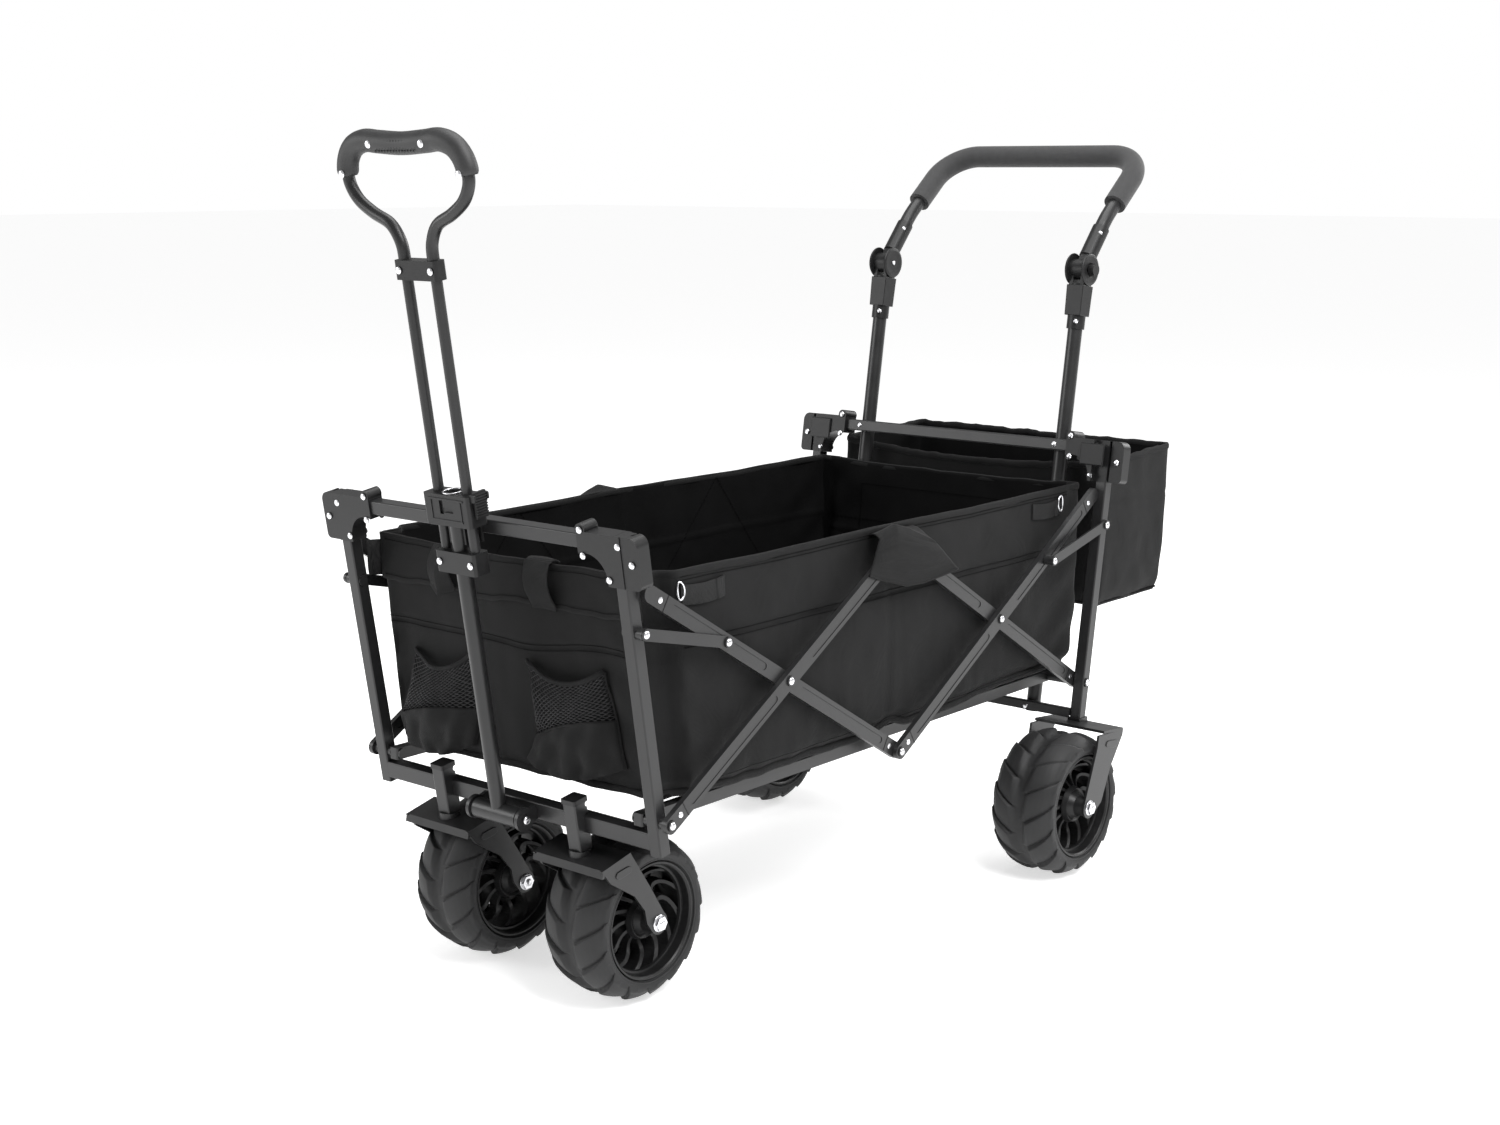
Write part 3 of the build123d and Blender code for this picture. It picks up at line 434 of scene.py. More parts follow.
# ---- fabric tub ----
TUB_IN = 0.2175
TUB_SIDE = 0.2335
TUB_FRONT = -0.4495
TUB_BACK = 0.4580
TUB_LOW = 0.2740
TUB_HIGH = 0.541
TUB_HEM = 0.272  # where the ends' lean is full
SIDE_SEAM = 0.4535
WALL_EDGE = 0.2372  # the cloth stays inside the bars
TAPE_EDGE = 0.2385
FRONT_LEAN = 0.0270  # how far each end wall's foot stands in from its top edge
BACK_LEAN = 0.0310


def rounded(points, radius, steps=4):
    """A closed outline with its corners rounded."""
    out = []
    n = len(points)
    for i in range(n):
        a, b, c = (Vector(points[(i + k) % n] + (0,)) for k in (-1, 0, 1))
        r = min(radius, (a - b).length * 0.45, (c - b).length * 0.45)
        start, stop = b + (a - b).normalized() * r, b + (c - b).normalized() * r
        for k in range(steps + 1):
            t = k / steps
            out.append((start * (1 - t) ** 2 + b * 2 * t * (1 - t) + stop * t * t).to_2d())
    return out


def resample(points, step):
    """Even spacing round a closed outline."""
    loop = points + [points[0]]
    out = []
    for a, b in zip(loop[:-1], loop[1:]):
        n = max(1, round((b - a).length / step))
        out += [a + (b - a) * (k / n) for k in range(n)]
    return out


TUB_OUTLINE = rounded([
    (-TUB_IN, TUB_FRONT), (TUB_IN, TUB_FRONT), (TUB_IN, -0.419), (TUB_SIDE, -0.405),
    (TUB_SIDE, TUB_BACK), (-TUB_SIDE, TUB_BACK), (-TUB_SIDE, -0.405), (-TUB_IN, -0.419)], 0.007)
TUB_LOOP = resample(TUB_OUTLINE, 0.0065)


def tub_foot(x, y):
    """Height of the tub's bottom edge, uneven as cloth is and lower on the left of the front wall."""
    slope = 0.004 * (x / 0.22) * ease((-0.30 - y) / 0.1)
    if abs(x) > 0.225:
        slope += 0.009 * bell(y, 0.012, 0.024) + 0.010 * ease((y - 0.12) / 0.16)
    return TUB_LOW + slope + 0.0030 * wobble(x, y, 0, 22, 6.0)


def tub_top(x, y):
    """Height of the tub's top edge: held at the corners and over the middle of each side, slack between."""
    top = TUB_HIGH
    if abs(x) > 0.2:
        top -= 0.0020 * arch(min(1, abs(y) / 0.42)) ** 2
        top += 0.0010 * wobble(x, y, 0, 14, 3.0)
    else:
        top -= 0.005 * (1 - (x / 0.22) ** 2) + 0.002 * wobble(x, y, 0, 25, 1.0)
    return top


def seam_height(x):
    """The lower of the two stitched rows across the front wall."""
    return 0.4290 + 0.0140 * ease((x - 0.02) / 0.17) + 0.004 * wobble(x, 0, 0, 12, 2.0)


def tub_out(x, y, z):
    """Outward swelling of the cloth at a place on the wall."""
    t = min(1.0, max(0.0, (z - TUB_LOW) / (TUB_HIGH - TUB_LOW)))
    side = abs(x) > TUB_SIDE - 0.002
    end = not side and abs(x) < TUB_IN - 0.004
    d = 0.0
    if side:
        middle = arch(min(1.0, max(0.0, (y + 0.405) / 0.83)))
        d += 0.0020 * middle * arch(t)
        d += 0.0024 * wobble(x, y, z, 9, 5.0) + 0.0012 * wobble(x, y, z, 26, 9.0)
        d -= 0.0022 * bell(y, 0.0, 0.006) * (1 - 0.6 * t)
        d -= 0.0022 * bell(z, SIDE_SEAM, 0.0022)
        crease = wobble(x, y * 2.2, z * 0.35, 21, 2.0)
        d += 0.0016 * crease * (1 - t) ** 1.5
        for yc, way in ((-0.405, 1), (0.425, -1)):
            near = max(0.0, 1 - abs(y - yc) / 0.11)
            d += 0.0030 * near * math.sin((z * 95 + way * (y - yc) * 60)) * (1 - t * 0.6) * 0.7
    elif end:
        d += 0.004 * (1 - (x / 0.22) ** 2) * arch(t)
        d += 0.0032 * wobble(x, y, z, 8, 4.0) + 0.0014 * wobble(x, y, z, 24, 7.0)
        d -= 0.0024 * bell(z, seam_height(x) + 0.0035, 0.0023)
        near = max(0.0, 1 - (0.22 - abs(x)) / 0.09)
        d += 0.0030 * near * math.sin(z * 100 + abs(x) * 70) * (1 - t * 0.5)
        d += 0.0016 * wobble(x * 2.5, y, z * 0.4, 20, 8.0) * (1 - t)
    else:
        d += 0.0008 * wobble(x, y, z, 30, 1.0)
    return d


def tub_wall():
    n = len(TUB_LOOP)
    levels = 64
    verts = []
    for i, p in enumerate(TUB_LOOP):
        tangent = (TUB_LOOP[(i + 1) % n] - TUB_LOOP[i - 1]).normalized()
        out = Vector((tangent.y, -tangent.x))
        low = tub_foot(p.x, p.y)
        top = tub_top(p.x, p.y)
        for j in range(levels + 1):
            t = j / levels
            z = low + (top - low) * t
            d = tub_out(p.x, p.y, z)
            # the bottom turns under into the floor panel
            d -= 0.010 * max(0.0, 1 - t * 14) ** 2
            q = p + out * d
            verts.append((within(q.x, WALL_EDGE), q.y, z))
    return verts, grid_faces(n, levels + 1, True)


verts, faces = tub_wall()
wall = piece("tub_walls", verts, faces, CLOTH, "front_frame", soft=True, solid=0.0030)
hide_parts("tub")
# the inner face takes the darker copy of the cloth: painted shade inside the tub
wall.data.materials.append(SHADED_CLOTH)
wall.modifiers["thick"].material_offset = 1


def tub_floor(u, v):
    x = (u * 2 - 1) * (TUB_IN - 0.004)
    y = TUB_FRONT + 0.012 + (TUB_BACK - TUB_FRONT - 0.024) * v
    edge = min(1 - abs(u * 2 - 1), min(v, 1 - v) * 3)
    return (x, y, 0.2755 + 0.002 * wobble(x, y, 0, 9, 4.0) - 0.002 * ease(edge * 4)
            + 0.0015 * bell(abs(v - 0.5), 0.25, 0.004))


# the floor takes the darker copy of the cloth: painted shade inside the tub
cloth_grid("tub_floor", tub_floor, 60, 100, SHADED_CLOTH, solid=0.004)


def ring_strip(name, loop, at, half, thick, mat):
    """A binding tape folded over an edge: at(p, i) gives its middle, half its half height."""
    n = len(loop)
    verts = []
    for i, p in enumerate(loop):
        tangent = (loop[(i + 1) % n] - loop[i - 1]).normalized()
        out = Vector((tangent.y, -tangent.x))
        z, d = at(p, i)
        for k in range(8):
            a = math.tau * k / 8 + math.pi / 8
            q = p + out * (d + thick * math.cos(a) * 1.25)
            verts.append((within(q.x, TAPE_EDGE), q.y, z + half * within(math.sin(a), 0.8) * 1.2))
    return piece(name, verts, loop_faces(n, 8), mat, "front_frame", soft=True)


ring_strip("tub_top_binding", TUB_LOOP, lambda p, i: (tub_top(p.x, p.y) - 0.0040, -0.0013), 0.0050, 0.0020,
           CLOTH)
ring_strip("tub_low_binding", TUB_LOOP,
           lambda p, i: (tub_foot(p.x, p.y) - 0.001, -0.0080 + 0.001 * wobble(p.x, p.y, 0, 60)),
           0.0050, 0.0030, BINDING)


def wall_point(x, y, z, lift=0.0):
    """A place on the outer face of the tub's wall, a little proud of it."""
    d = tub_out(x, y, z) + lift
    if abs(x) > TUB_SIDE - 0.002:
        return Vector((math.copysign(min(TAPE_EDGE, abs(x) + d), x), y, z))
    return Vector((x, TUB_FRONT - d if y < 0 else TUB_BACK + d, z))


def stitch_rows(name, points_on, count):
    """Short raised threads along a line; points_on(t) gives place and the direction out."""
    parts = []
    for i in range(count):
        a, out = points_on((i + 0.18) / count)
        b, _ = points_on((i + 0.82) / count)
        run = b - a
        if run.length < 1e-6:
            continue
        across = run.normalized().cross(out)
        parts.append(block((a + b) / 2 + out * 0.0002, (run.normalized(), across.normalized(), out),
                           (run.length, 0.0007, 0.0006)))
    return combine(name, parts, THREAD, "front_frame", smooth=False, soft=True)


# folded-over band along the top of the front wall
def front_band(u, v):
    x = (u * 2 - 1) * (TUB_IN - 0.0015)
    low = 0.484 + 0.006 * wobble(x, 0, 0, 14, 3.0) + 0.002 * wobble(x, 0, 0, 45, 1.0)
    top = tub_top(x, TUB_FRONT) + 0.0005
    z = low + (top - low) * v
    lift = 0.0016 + 0.0036 * (1 - v) ** 2 + 0.0022 * wobble(x, 0, z, 20, 6.0) * (1 - v)
    return wall_point(x, TUB_FRONT, z, max(0.0010, lift))


cloth_grid("front_band", front_band, 110, 16, CLOTH, solid=0.0018)
for number, level in enumerate((0.5335, 0.4915)):
    stitch_rows(f"front_stitch_{number}",
                lambda t, z=level: (front_band(0.02 + 0.96 * t, 0.87 if z > 0.5 else 0.12)
                                    + Vector((0, -0.0006, 0)), -Y), 96)

for word, s in SIDES:
    for number, (level, drop) in enumerate(((0.4565, 0), (0.4495, 0), (0.5330, 1), (0.5290, 1), (0.2860, 2))):
        def seam(t, z=level, s=s, drop=drop):
            y = -0.398 + 0.818 * t
            if drop == 1:
                z = tub_top(s * TUB_SIDE, y) - (TUB_HIGH - z)
            return wall_point(s * TUB_SIDE, y, z, 0.0003), X * s
        stitch_rows(f"side_stitch_{word}_{number}", seam, 190)
for number, level in enumerate((0.0070, 0.0)):
    stitch_rows(f"front_seam_stitch_{number}",
                lambda t, h=level: (wall_point(-0.213 + 0.426 * t, TUB_FRONT,
                                               seam_height(-0.213 + 0.426 * t) + h, 0.0003),
                                    -Y), 96)


# webbing loops over the front wall's edge
def webbing_loop(name, x_low, x_high, top, low, skew):
    def fn(u, v):
        # over the edge from inside, then down the outside with a slight belly
        x = x_low + (x_high - x_low) * u
        if v < 0.22:
            t = v / 0.22
            y = TUB_FRONT + 0.010 - 0.020 * t
            z = tub_top(x, TUB_FRONT) + 0.004 * arch(t) + 0.0015
        else:
            t = (v - 0.22) / 0.78
            z = top - (top - low) * t
            y = TUB_FRONT - 0.0085 - 0.0085 * arch(min(1, t * 1.08)) - 0.001 * (1 - t)
        x += skew * v
        return Vector((x, y, z + 0.0012 * math.sin(u * math.pi)))
    return cloth_grid(name, fn, 14, 40, WEBBING, solid=0.0018, offset=0.0)


webbing_loop("front_loop_right", 0.049, 0.088, 0.540, 0.483, 0.006)


def folded_loop(u, v):
    """A webbing loop lying folded to a point behind the collar."""
    x = -0.106 + 0.026 * u + (-0.017 + 0.020 * u) * v
    z = 0.540 - (0.062 - 0.016 * abs(u - 0.55)) * v
    crease = 1 - abs(u * 2 - 1.1)
    return Vector((x, TUB_FRONT - 0.0085 - 0.008 * arch(min(1.0, v * 1.1)) - 0.011 * crease * v, z))


cloth_grid("front_loop_left", folded_loop, 14, 30, WEBBING, solid=0.0018, offset=0.0)


def velcro(u, v):
    """A rough tab at the band's left end, turned forwards against the post."""
    y = TUB_FRONT - 0.0240 * u + 0.002
    z = 0.4860 + 0.0450 * v + 0.0015 * u
    return Vector((-0.2195 - 0.0022 * arch(u) - 0.0008 * math.sin(7 * v), y, z))


cloth_grid("front_velcro", velcro, 12, 20, WEBBING, solid=0.0022)
cloth_grid("front_velcro_right", lambda u, v: Vector((-velcro(u, v).x, *velcro(u, v).yz)), 12, 20, WEBBING,
           solid=0.0022, offset=1.0)


# flat straps and rings near the tops of the side walls
def strap(name, s, y_low, y_high, z_low, z_high):
    def fn(u, v):
        y = y_low + (y_high - y_low) * u
        z = z_low + (z_high - z_low) * v - 0.003 * arch(u)
        return wall_point(s * TUB_SIDE, y, z, 0.0014 + 0.0008 * arch(u) + 0.0010 * (abs(u - 0.87) < 0.06))
    return cloth_grid(name, fn, 40, 10, WEBBING, solid=0.0014, offset=0.0)


RING_WIDE, RING_TALL, RING_WIRE = 0.021, 0.016, 0.0013


def ring(name, centre, axes):
    """A closed D ring."""
    path = []
    for k in range(28):
        a = math.tau * k / 28
        reach = 1 if math.sin(a) > 0 else 0.45
        path.append(centre + axes[0] * (RING_WIDE / 2 * math.cos(a))
                    + axes[1] * (RING_TALL / 2 * math.sin(a) * reach))
    n, sides = len(path), 8
    verts = []
    normal = axes[0].cross(axes[1]).normalized()
    for i in range(n):
        out = (path[i] - centre).normalized()
        for k in range(sides):
            a = math.tau * k / sides
            verts.append(path[i] + out * (RING_WIRE * math.cos(a)) + normal * (RING_WIRE * math.sin(a)))
    return piece(name, verts, loop_faces(n, sides), STEEL, "front_frame", soft=True)


for word, s in SIDES:
    strap(f"side_strap_front_{word}", s, -0.398, -0.322, 0.500, 0.524)
    strap(f"side_strap_rear_{word}", s, 0.330, 0.398, 0.504, 0.526)
    ring(f"side_ring_front_{word}", wall_point(s * TUB_SIDE, -0.4005, 0.517, 0.0022), (Z, Y))
    ring(f"side_ring_rear_{word}", wall_point(s * TUB_SIDE, 0.401, 0.519, 0.0022), (Z, -Y))


# ---- mesh pockets on the front wall ----
def between(corners, u, v):
    """A place in a quadrilateral given as top-left, top-right, low-left, low-right (x, z)."""
    a, b, c, d = corners
    top = (a[0] + (b[0] - a[0]) * u, a[1] + (b[1] - a[1]) * u)
    low = (c[0] + (d[0] - c[0]) * u, c[1] + (d[1] - c[1]) * u)
    return top[0] + (low[0] - top[0]) * v, top[1] + (low[1] - top[1]) * v


def pocket(word, net_corners, bag_corners):
    def belly(u, v):
        return 0.003 + 0.021 * max(0.0, arch(u)) ** 0.7 * (0.45 + 0.55 * v)

    def net_place(u, v):
        x, z = between(net_corners, u, v)
        z -= 0.021 * arch(u) ** 0.8 * (1 - v) - 0.008 * arch(u) * v
        d = belly(u, v) + 0.004 * wobble(x, 0, z, 30, 2.0)
        return Vector((x, TUB_FRONT - tub_out(x, TUB_FRONT, z) - max(0.002, d), z))

    def bag_place(u, v):
        x, z = between(bag_corners, u, v)
        full = max(0.0, arch(u))
        z -= 0.017 * full * v - 0.008 * full * (1 - v)
        # gathered folds fan out from the middle of the bag
        fold = math.sin(u * 23 + 5 * v + 2 * wobble(x, 0, z, 25, 1.0)) * (0.35 + 0.65 * v)
        swell = 0.003 + 0.024 * full ** 0.6 * (1 - 0.55 * v ** 2.2)
        swell += (0.0045 * fold + 0.0075 * wobble(x, 0, z, 30, 5.0)) * full ** 0.7
        return Vector((x, TUB_FRONT - tub_out(x, TUB_FRONT, z) - max(0.0018, swell), z))

    wide, tall = 15, 12
    verts = []
    for i in range(wide * 2 + 1):
        for j in range(tall * 2 + 1):
            verts.append(net_place(i / (wide * 2), j / (tall * 2)))
    m = tall * 2 + 1
    faces = []
    for i in range(1, wide * 2):
        for j in range(1, tall * 2):
            if (i + j) % 2 == 1:
                faces.append((i * m + j - 1, (i + 1) * m + j, i * m + j + 1, (i - 1) * m + j))
    net = piece(f"pocket_net_{word}", verts, faces, NET, "front_frame", smooth=False, soft=True)
    w = net.modifiers.new("threads", "WIREFRAME")
    w.thickness = 0.0017
    w.use_even_offset = False
    cloth_grid(f"pocket_bag_{word}", bag_place, 50, 30, CLOTH, solid=0.0012)
    rim_path = [net_place(k / 40, 0) + Vector((0, -0.0006, 0)) for k in range(41)]
    cloth_tube(f"pocket_rim_{word}", rim_path, oval(0.0022, 0.0032), BINDING)
    for side, u in (("a", 0.0), ("b", 1.0)):
        path = [net_place(u, k / 20) + Vector((0, 0.0006, 0)) for k in range(21)]
        path += [bag_place(u, k / 16) + Vector((0, 0.0006, 0)) for k in range(1, 17)]
        cloth_tube(f"pocket_edge_{word}_{side}", path, oval(0.0017, 0.0017), BINDING)
    seam_path = [net_place(k / 40, 1) + Vector((0, -0.0004, 0)) for k in range(41)]
    cloth_tube(f"pocket_seam_{word}", seam_path, oval(0.0016, 0.0016), BINDING)


pocket("left", ((-0.168, 0.399), (-0.062, 0.409), (-0.206, 0.308), (-0.054, 0.339)),
       ((-0.206, 0.309), (-0.054, 0.340), (-0.208, 0.280), (-0.074, 0.290)))
pocket("right", ((0.037, 0.417), (0.160, 0.422), (0.040, 0.322), (0.170, 0.363)),
       ((0.040, 0.323), (0.170, 0.364), (0.016, 0.290), (0.178, 0.306)))


# ---- flaps over the upper middle pivots ----
FLAP_TOP = ((-0.058, 0.533), (-0.040, 0.5400), (-0.022, 0.5455), (0.004, 0.5380), (0.022, 0.5300),
            (0.040, 0.5230),
            (0.058, 0.5160))
FLAP_LOW = ((-0.078, 0.4900), (-0.056, 0.4820), (-0.034, 0.4760), (0.000, 0.4660), (0.040, 0.4645),
            (0.080, 0.4675),
            (0.114, 0.4710))


def flap(word, s):
    """A hood of cloth from the wall's edge, out over the bars' peak and down outside them."""
    inwards = (s * 0.078, 0.997, 0)

    def fn(u, v):
        y_top, z_top = along(FLAP_TOP, u)
        y_low, z_low = along(FLAP_LOW, u)
        if v < 0.25:
            t = v / 0.25
            x = 0.2335 + (0.2600 - 0.2335) * t
            return Vector((s * x, y_top * (0.75 + 0.25 * t),
                           0.5330 + (z_top - 0.5330) * ease(t) + 0.003 * arch(t)))
        t = (v - 0.25) / 0.75
        swell = 0.0050 * arch(min(1.0, t * 1.15)) * arch(u) ** 0.6
        x = 0.2603 + swell + 0.0012 * wobble(0, y_top, t, 14, 4.0)
        y = y_top + (y_low - y_top) * t
        z = z_top + (z_low - z_top) * t + 0.003 * arch(u) * arch(t)
        return Vector((s * max(0.2600, x), y, z))
    cloth_grid(f"peak_flap_{word}", fn, 50, 36, CLOTH, soft=inwards, solid=0.0014, offset=0.0)
    edge = [fn(k / 48, 1.0) for k in range(49)]
    cloth_tube(f"peak_flap_edge_{word}", edge, oval(0.0014, 0.0020), CLOTH, soft=inwards)


flap("right", 1)
flap("left", -1)


# ---- inside seams ----
def inner_seams():
    for word, s in SIDES:
        for number, ends in enumerate((((-0.20, 0.535), (-0.38, 0.300)), ((-0.20, 0.535), (0.0, 0.300)),
                                       ((0.20, 0.535), (0.0, 0.300)), ((0.20, 0.535), (0.38, 0.300)))):
            def line(t, s=s, ends=ends):
                y = ends[0][0] + (ends[1][0] - ends[0][0]) * t
                z = ends[0][1] + (ends[1][1] - ends[0][1]) * t
                p = wall_point(s * TUB_SIDE, y, z, 0.0)
                return Vector((p.x - s * 0.0036, y, z)), -X * s
            stitch_rows(f"inner_stitch_{word}_{number}", line, 50)
    for number, (a, b) in enumerate((((-0.15, 0.505), (0.15, 0.505)), ((-0.15, 0.345), (0.15, 0.345)),
                                     ((-0.15, 0.345), (-0.15, 0.505)), ((0.15, 0.345), (0.15, 0.505)),
                                     ((-0.22, 0.45), (0.22, 0.45)))):
        def line(t, a=a, b=b):
            x, z = a[0] + (b[0] - a[0]) * t, a[1] + (b[1] - a[1]) * t
            d = tub_out(x, TUB_BACK, z)
            return Vector((x, TUB_BACK + d - 0.0036, z)), -Y
        stitch_rows(f"inner_back_stitch_{number}", line, 60)


inner_seams()


# ---- basket behind the rear frame ----
# half width, front, back at the top and at the foot, foot and top edge
BX, BF, BT, BB, BL, BH = 0.2335, 0.5165, 0.7215, 0.7005, 0.3515, 0.5705
BASKET_EDGE = 0.2375


def basket_outline(t):
    """The basket's closed plan outline at height share t."""
    back = BB + (BT - BB) * t
    return rounded([(-BX, BF), (BX, BF), (BX, back), (-BX, back)], 0.010)


BASKET_LOOPS = [resample(basket_outline(t), 0.0075) for t in (0.0, 1.0)]


def basket_wall():
    low_loop, top_loop = BASKET_LOOPS
    n = min(len(low_loop), len(top_loop))

    def at(loop, share):
        k = share * len(loop)
        i = int(k) % len(loop)
        return loop[i].lerp(loop[(i + 1) % len(loop)], k - int(k))
    levels = 34
    verts = []
    for i in range(n):
        for j in range(levels + 1):
            t = j / levels
            p = at(low_loop, i / n).lerp(at(top_loop, i / n), t)
            q = at(low_loop, (i + 0.5) / n) - at(low_loop, (i - 0.5) / n if i else (n - 0.5) / n)
            q.normalize()
            out = Vector((q.y, -q.x))
            z = BL + (basket_top(p.x, p.y) - BL) * t
            d = 0.0026 * wobble(p.x, p.y, z, 11, 3.0) + 0.0014 * wobble(p.x, p.y, z, 34, 5.0)
            d -= 0.0015 * bell(z, BL + 0.150, 0.0025)
            d -= 0.006 * max(0.0, 1 - t * 9) ** 2
            p = p + out * d
            verts.append((within(p.x, BASKET_EDGE), p.y, z))
    return verts, n, levels


def basket_top(x, y):
    top = BH - 0.006 * max(0.0, min(1.0, (BT - y) / 0.2))
    if abs(y - BF) < 0.02:
        top -= 0.014 * (1 - (x / BX) ** 2)
    return top + 0.0020 * wobble(x, y, 0, 45, 2.0) + 0.0012 * wobble(x, y, 0, 110, 4.0)


verts, n, levels = basket_wall()
m = levels + 1
basket = piece("basket_walls", verts, grid_faces(n, m, True), CLOTH, "rear_frame", solid=0.0026)
# the basket's inner face takes the darker copy of the cloth: painted shade inside the basket
basket.data.materials.append(SHADED_CLOTH)
basket.modifiers["thick"].material_offset = 1
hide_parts("rear_basket")
for name, j, half in (("basket_top_binding", levels, 0.0055), ("basket_low_binding", 0, 0.0045)):
    tape = []
    for i in range(n):
        c = Vector(verts[i * m + j])
        out = Vector((c.x, (c.y - 0.615) * 2.0, 0)).normalized()
        for k in range(8):
            a = math.tau * k / 8 + math.pi / 8
            q = c + out * (-0.0012 + 0.0028 * math.cos(a)) + Z * (half * math.sin(a) + (-0.003 if j else 0.002))
            tape.append((within(q.x, TAPE_EDGE), q.y, q.z))
    piece(name, tape, loop_faces(n, 8), BINDING, "rear_frame")


def basket_floor(u, v):
    x = (u * 2 - 1) * (BX - 0.005)
    y = BF + 0.005 + (BB - BF - 0.010) * v
    return Vector((x, y, BL + 0.004 - 0.0025 * arch(u) * arch(v) + 0.001 * wobble(x, y, 0, 20)))


# the basket floor takes the darker copy of the cloth: painted shade inside the basket
grid("basket_floor", basket_floor, 50, 30, SHADED_CLOTH, "rear_frame", solid=0.0028)


# ---- wheels ----
WHEEL_R = 0.1016
WHEELS = (
    ("front_right", 0.1135, -0.3665, 1),
    ("front_left", -0.1135, -0.3665, -1),
    ("rear_right", 0.2685, 0.355, 1),
    ("rear_left", -0.2685, 0.355, -1),
)
CROWN = ((0.0, 0.1000), (0.014, 0.0998), (0.022, 0.0993), (0.030, 0.0978), (0.037, 0.0955), (0.0425, 0.0920),
         (0.0470, 0.0870), (0.0488, 0.0820), (0.0480, 0.0770), (0.0455, 0.0735))
LUGS = 15
LUG_RISE = 0.0078
SKIRT_R = 0.0722


def lug_height(theta, s, side):
    """Swept blades from the zigzag middle out to the shoulder, sharp in front, falling away behind."""
    x = abs(s)
    turn = theta / math.tau * LUGS + (0.0 if side > 0 else 0.5)
    phase = (turn + 1.15 * x ** 1.1) % 1.0
    edge = 0.07
    rise = ease(phase / edge)
    fall = 1.0 - 0.62 * max(0.0, (phase - edge) / (1 - edge)) ** 1.3
    if phase > 0.93:
        fall *= 1.0 - ease((phase - 0.93) / 0.07)
    middle = ease((x - 0.02 - 0.05 * (1 - phase)) / 0.05)
    shoulder = 1.0 - ease((x - 0.66 - 0.08 * (phase < 0.5)) / 0.12)
    return rise * fall * middle * shoulder


def tyre_mesh():
    around, across = 510, 29
    verts = []
    for i in range(around):
        theta = math.tau * i / around
        for j in range(2 * across + 1):
            s = (j - across) / across
            side = 1 if s >= 0 else -1
            x, r = along(CROWN, abs(s))
            r += LUG_RISE * lug_height(theta, s,
                                       side) * (1 - 0.35 * abs(s)) - 0.0060 * (1 - ease((abs(s) - 0.6) / 0.25))
            verts.append((side * x, -r * math.sin(theta), r * math.cos(theta)))
    m = 2 * across + 1
    faces = grid_faces(around, m, True)
    # the inner skirt closes the tyre down to the rim
    base = len(verts)
    for i in range(around):
        theta = math.tau * i / around
        for x in (0.0440, -0.0440):
            verts.append((x, -SKIRT_R * math.sin(theta), SKIRT_R * math.cos(theta)))
    for i in range(around):
        k = (i + 1) % around
        faces.append((i * m + m - 1, k * m + m - 1, base + 2 * k, base + 2 * i))
        faces.append((k * m, i * m, base + 2 * i + 1, base + 2 * k + 1))
        faces.append((base + 2 * i, base + 2 * k, base + 2 * k + 1, base + 2 * i + 1))
    return verts, faces


TYRE_VERTS, TYRE_FACES = tyre_mesh()
BEAD = ((0.0462, 0.0735), (0.0478, 0.0745), (0.0474, 0.0770), (0.0455, 0.0772))

RIM_BARREL = ((-0.0460, 0.0718), (-0.0462, 0.0695), (-0.0440, 0.0675), (-0.0300, 0.0655), (0.0300, 0.0655),
              (0.0440, 0.0675), (0.0462, 0.0695), (0.0460, 0.0718))
HUB_SHAPE = ((-0.0528, 0.0055), (-0.0528, 0.0120), (-0.0400, 0.0150), (-0.0320, 0.0200), (0.0320, 0.0200),
             (0.0400, 0.0150), (0.0528, 0.0120), (0.0528, 0.0055))
RIM_LIP = ((0.0300, 0.0665), (0.0300, 0.0625), (0.0340, 0.0635), (0.0345, 0.0672))
HUB_COLLAR = ((0.0315, 0.0195), (0.0350, 0.0235), (0.0270, 0.0265), (0.0240, 0.0200))
SPOKES = 12
SPOKE_FROM, SPOKE_TO = 0.0185, 0.0665


def rim_mesh():
    parts = [revolve_x((0, 0, 0), RIM_BARREL, 96), revolve_x((0, 0, 0), HUB_SHAPE, 48)]
    for side in (1, -1):
        # a raised lip inside each mouth and a collar round the hub
        for profile, n in ((RIM_LIP, 96), (HUB_COLLAR, 48)):
            parts.append(revolve_x((0, 0, 0), [(side * x, r) for x, r in profile], n))
        for k in range(SPOKES):
            start = math.tau * k / SPOKES
            verts = []
            steps = 14
            for i in range(steps + 1):
                t = i / steps
                r = SPOKE_FROM + (SPOKE_TO - SPOKE_FROM) * t
                bend = 0.34 * arch((t * 1.5 - 0.25)) * (0.35 + 0.65 * t)
                a = start + side * bend
                half = (0.0030 + 0.0040 * t ** 2) / r
                face = side * (0.0285 - 0.0120 * max(0.0, arch(t)) ** 1.2 + 0.002 * t)
                back = side * 0.0060
                for angle, x in ((a - half, back), (a - half * 0.75, face), (a + half * 0.75, face),
                                 (a + half, back)):
                    verts.append((x, -r * math.sin(angle), r * math.cos(angle)))
            faces = []
            for i in range(steps):
                for q in range(3):
                    b = i * 4 + q
                    faces.append((b, b + 1, b + 5, b + 4))
            parts.append((verts, faces))
    return merge(parts)


RIM_VERTS, RIM_FACES = rim_mesh()

for word, wx, wy, s in WHEELS:
    at = Vector((wx, wy, WHEEL_R))
    body = f"wheel_{word}"
    tyre = piece(f"tread_{word}", [Vector(v) + at for v in TYRE_VERTS], TYRE_FACES, TYRE, body)
    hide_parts(f"tyre_{word}")
    combine(f"bead_{word}", [revolve_x(at, [(side * x, r) for x, r in BEAD], 96) for side in (1, -1)], TYRE,
            body)
    rim = piece(f"wheel_rim_{word}", [Vector(v) + at for v in RIM_VERTS], RIM_FACES, PLASTIC, body,
                smooth=False)
    add_bevel(rim, 0.0005, 30)
    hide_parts(f"rim_{word}")

WASHER_X, BOLT_X, RIB_X = 0.0570, 0.0620, 0.0569  # out from the wheel's middle

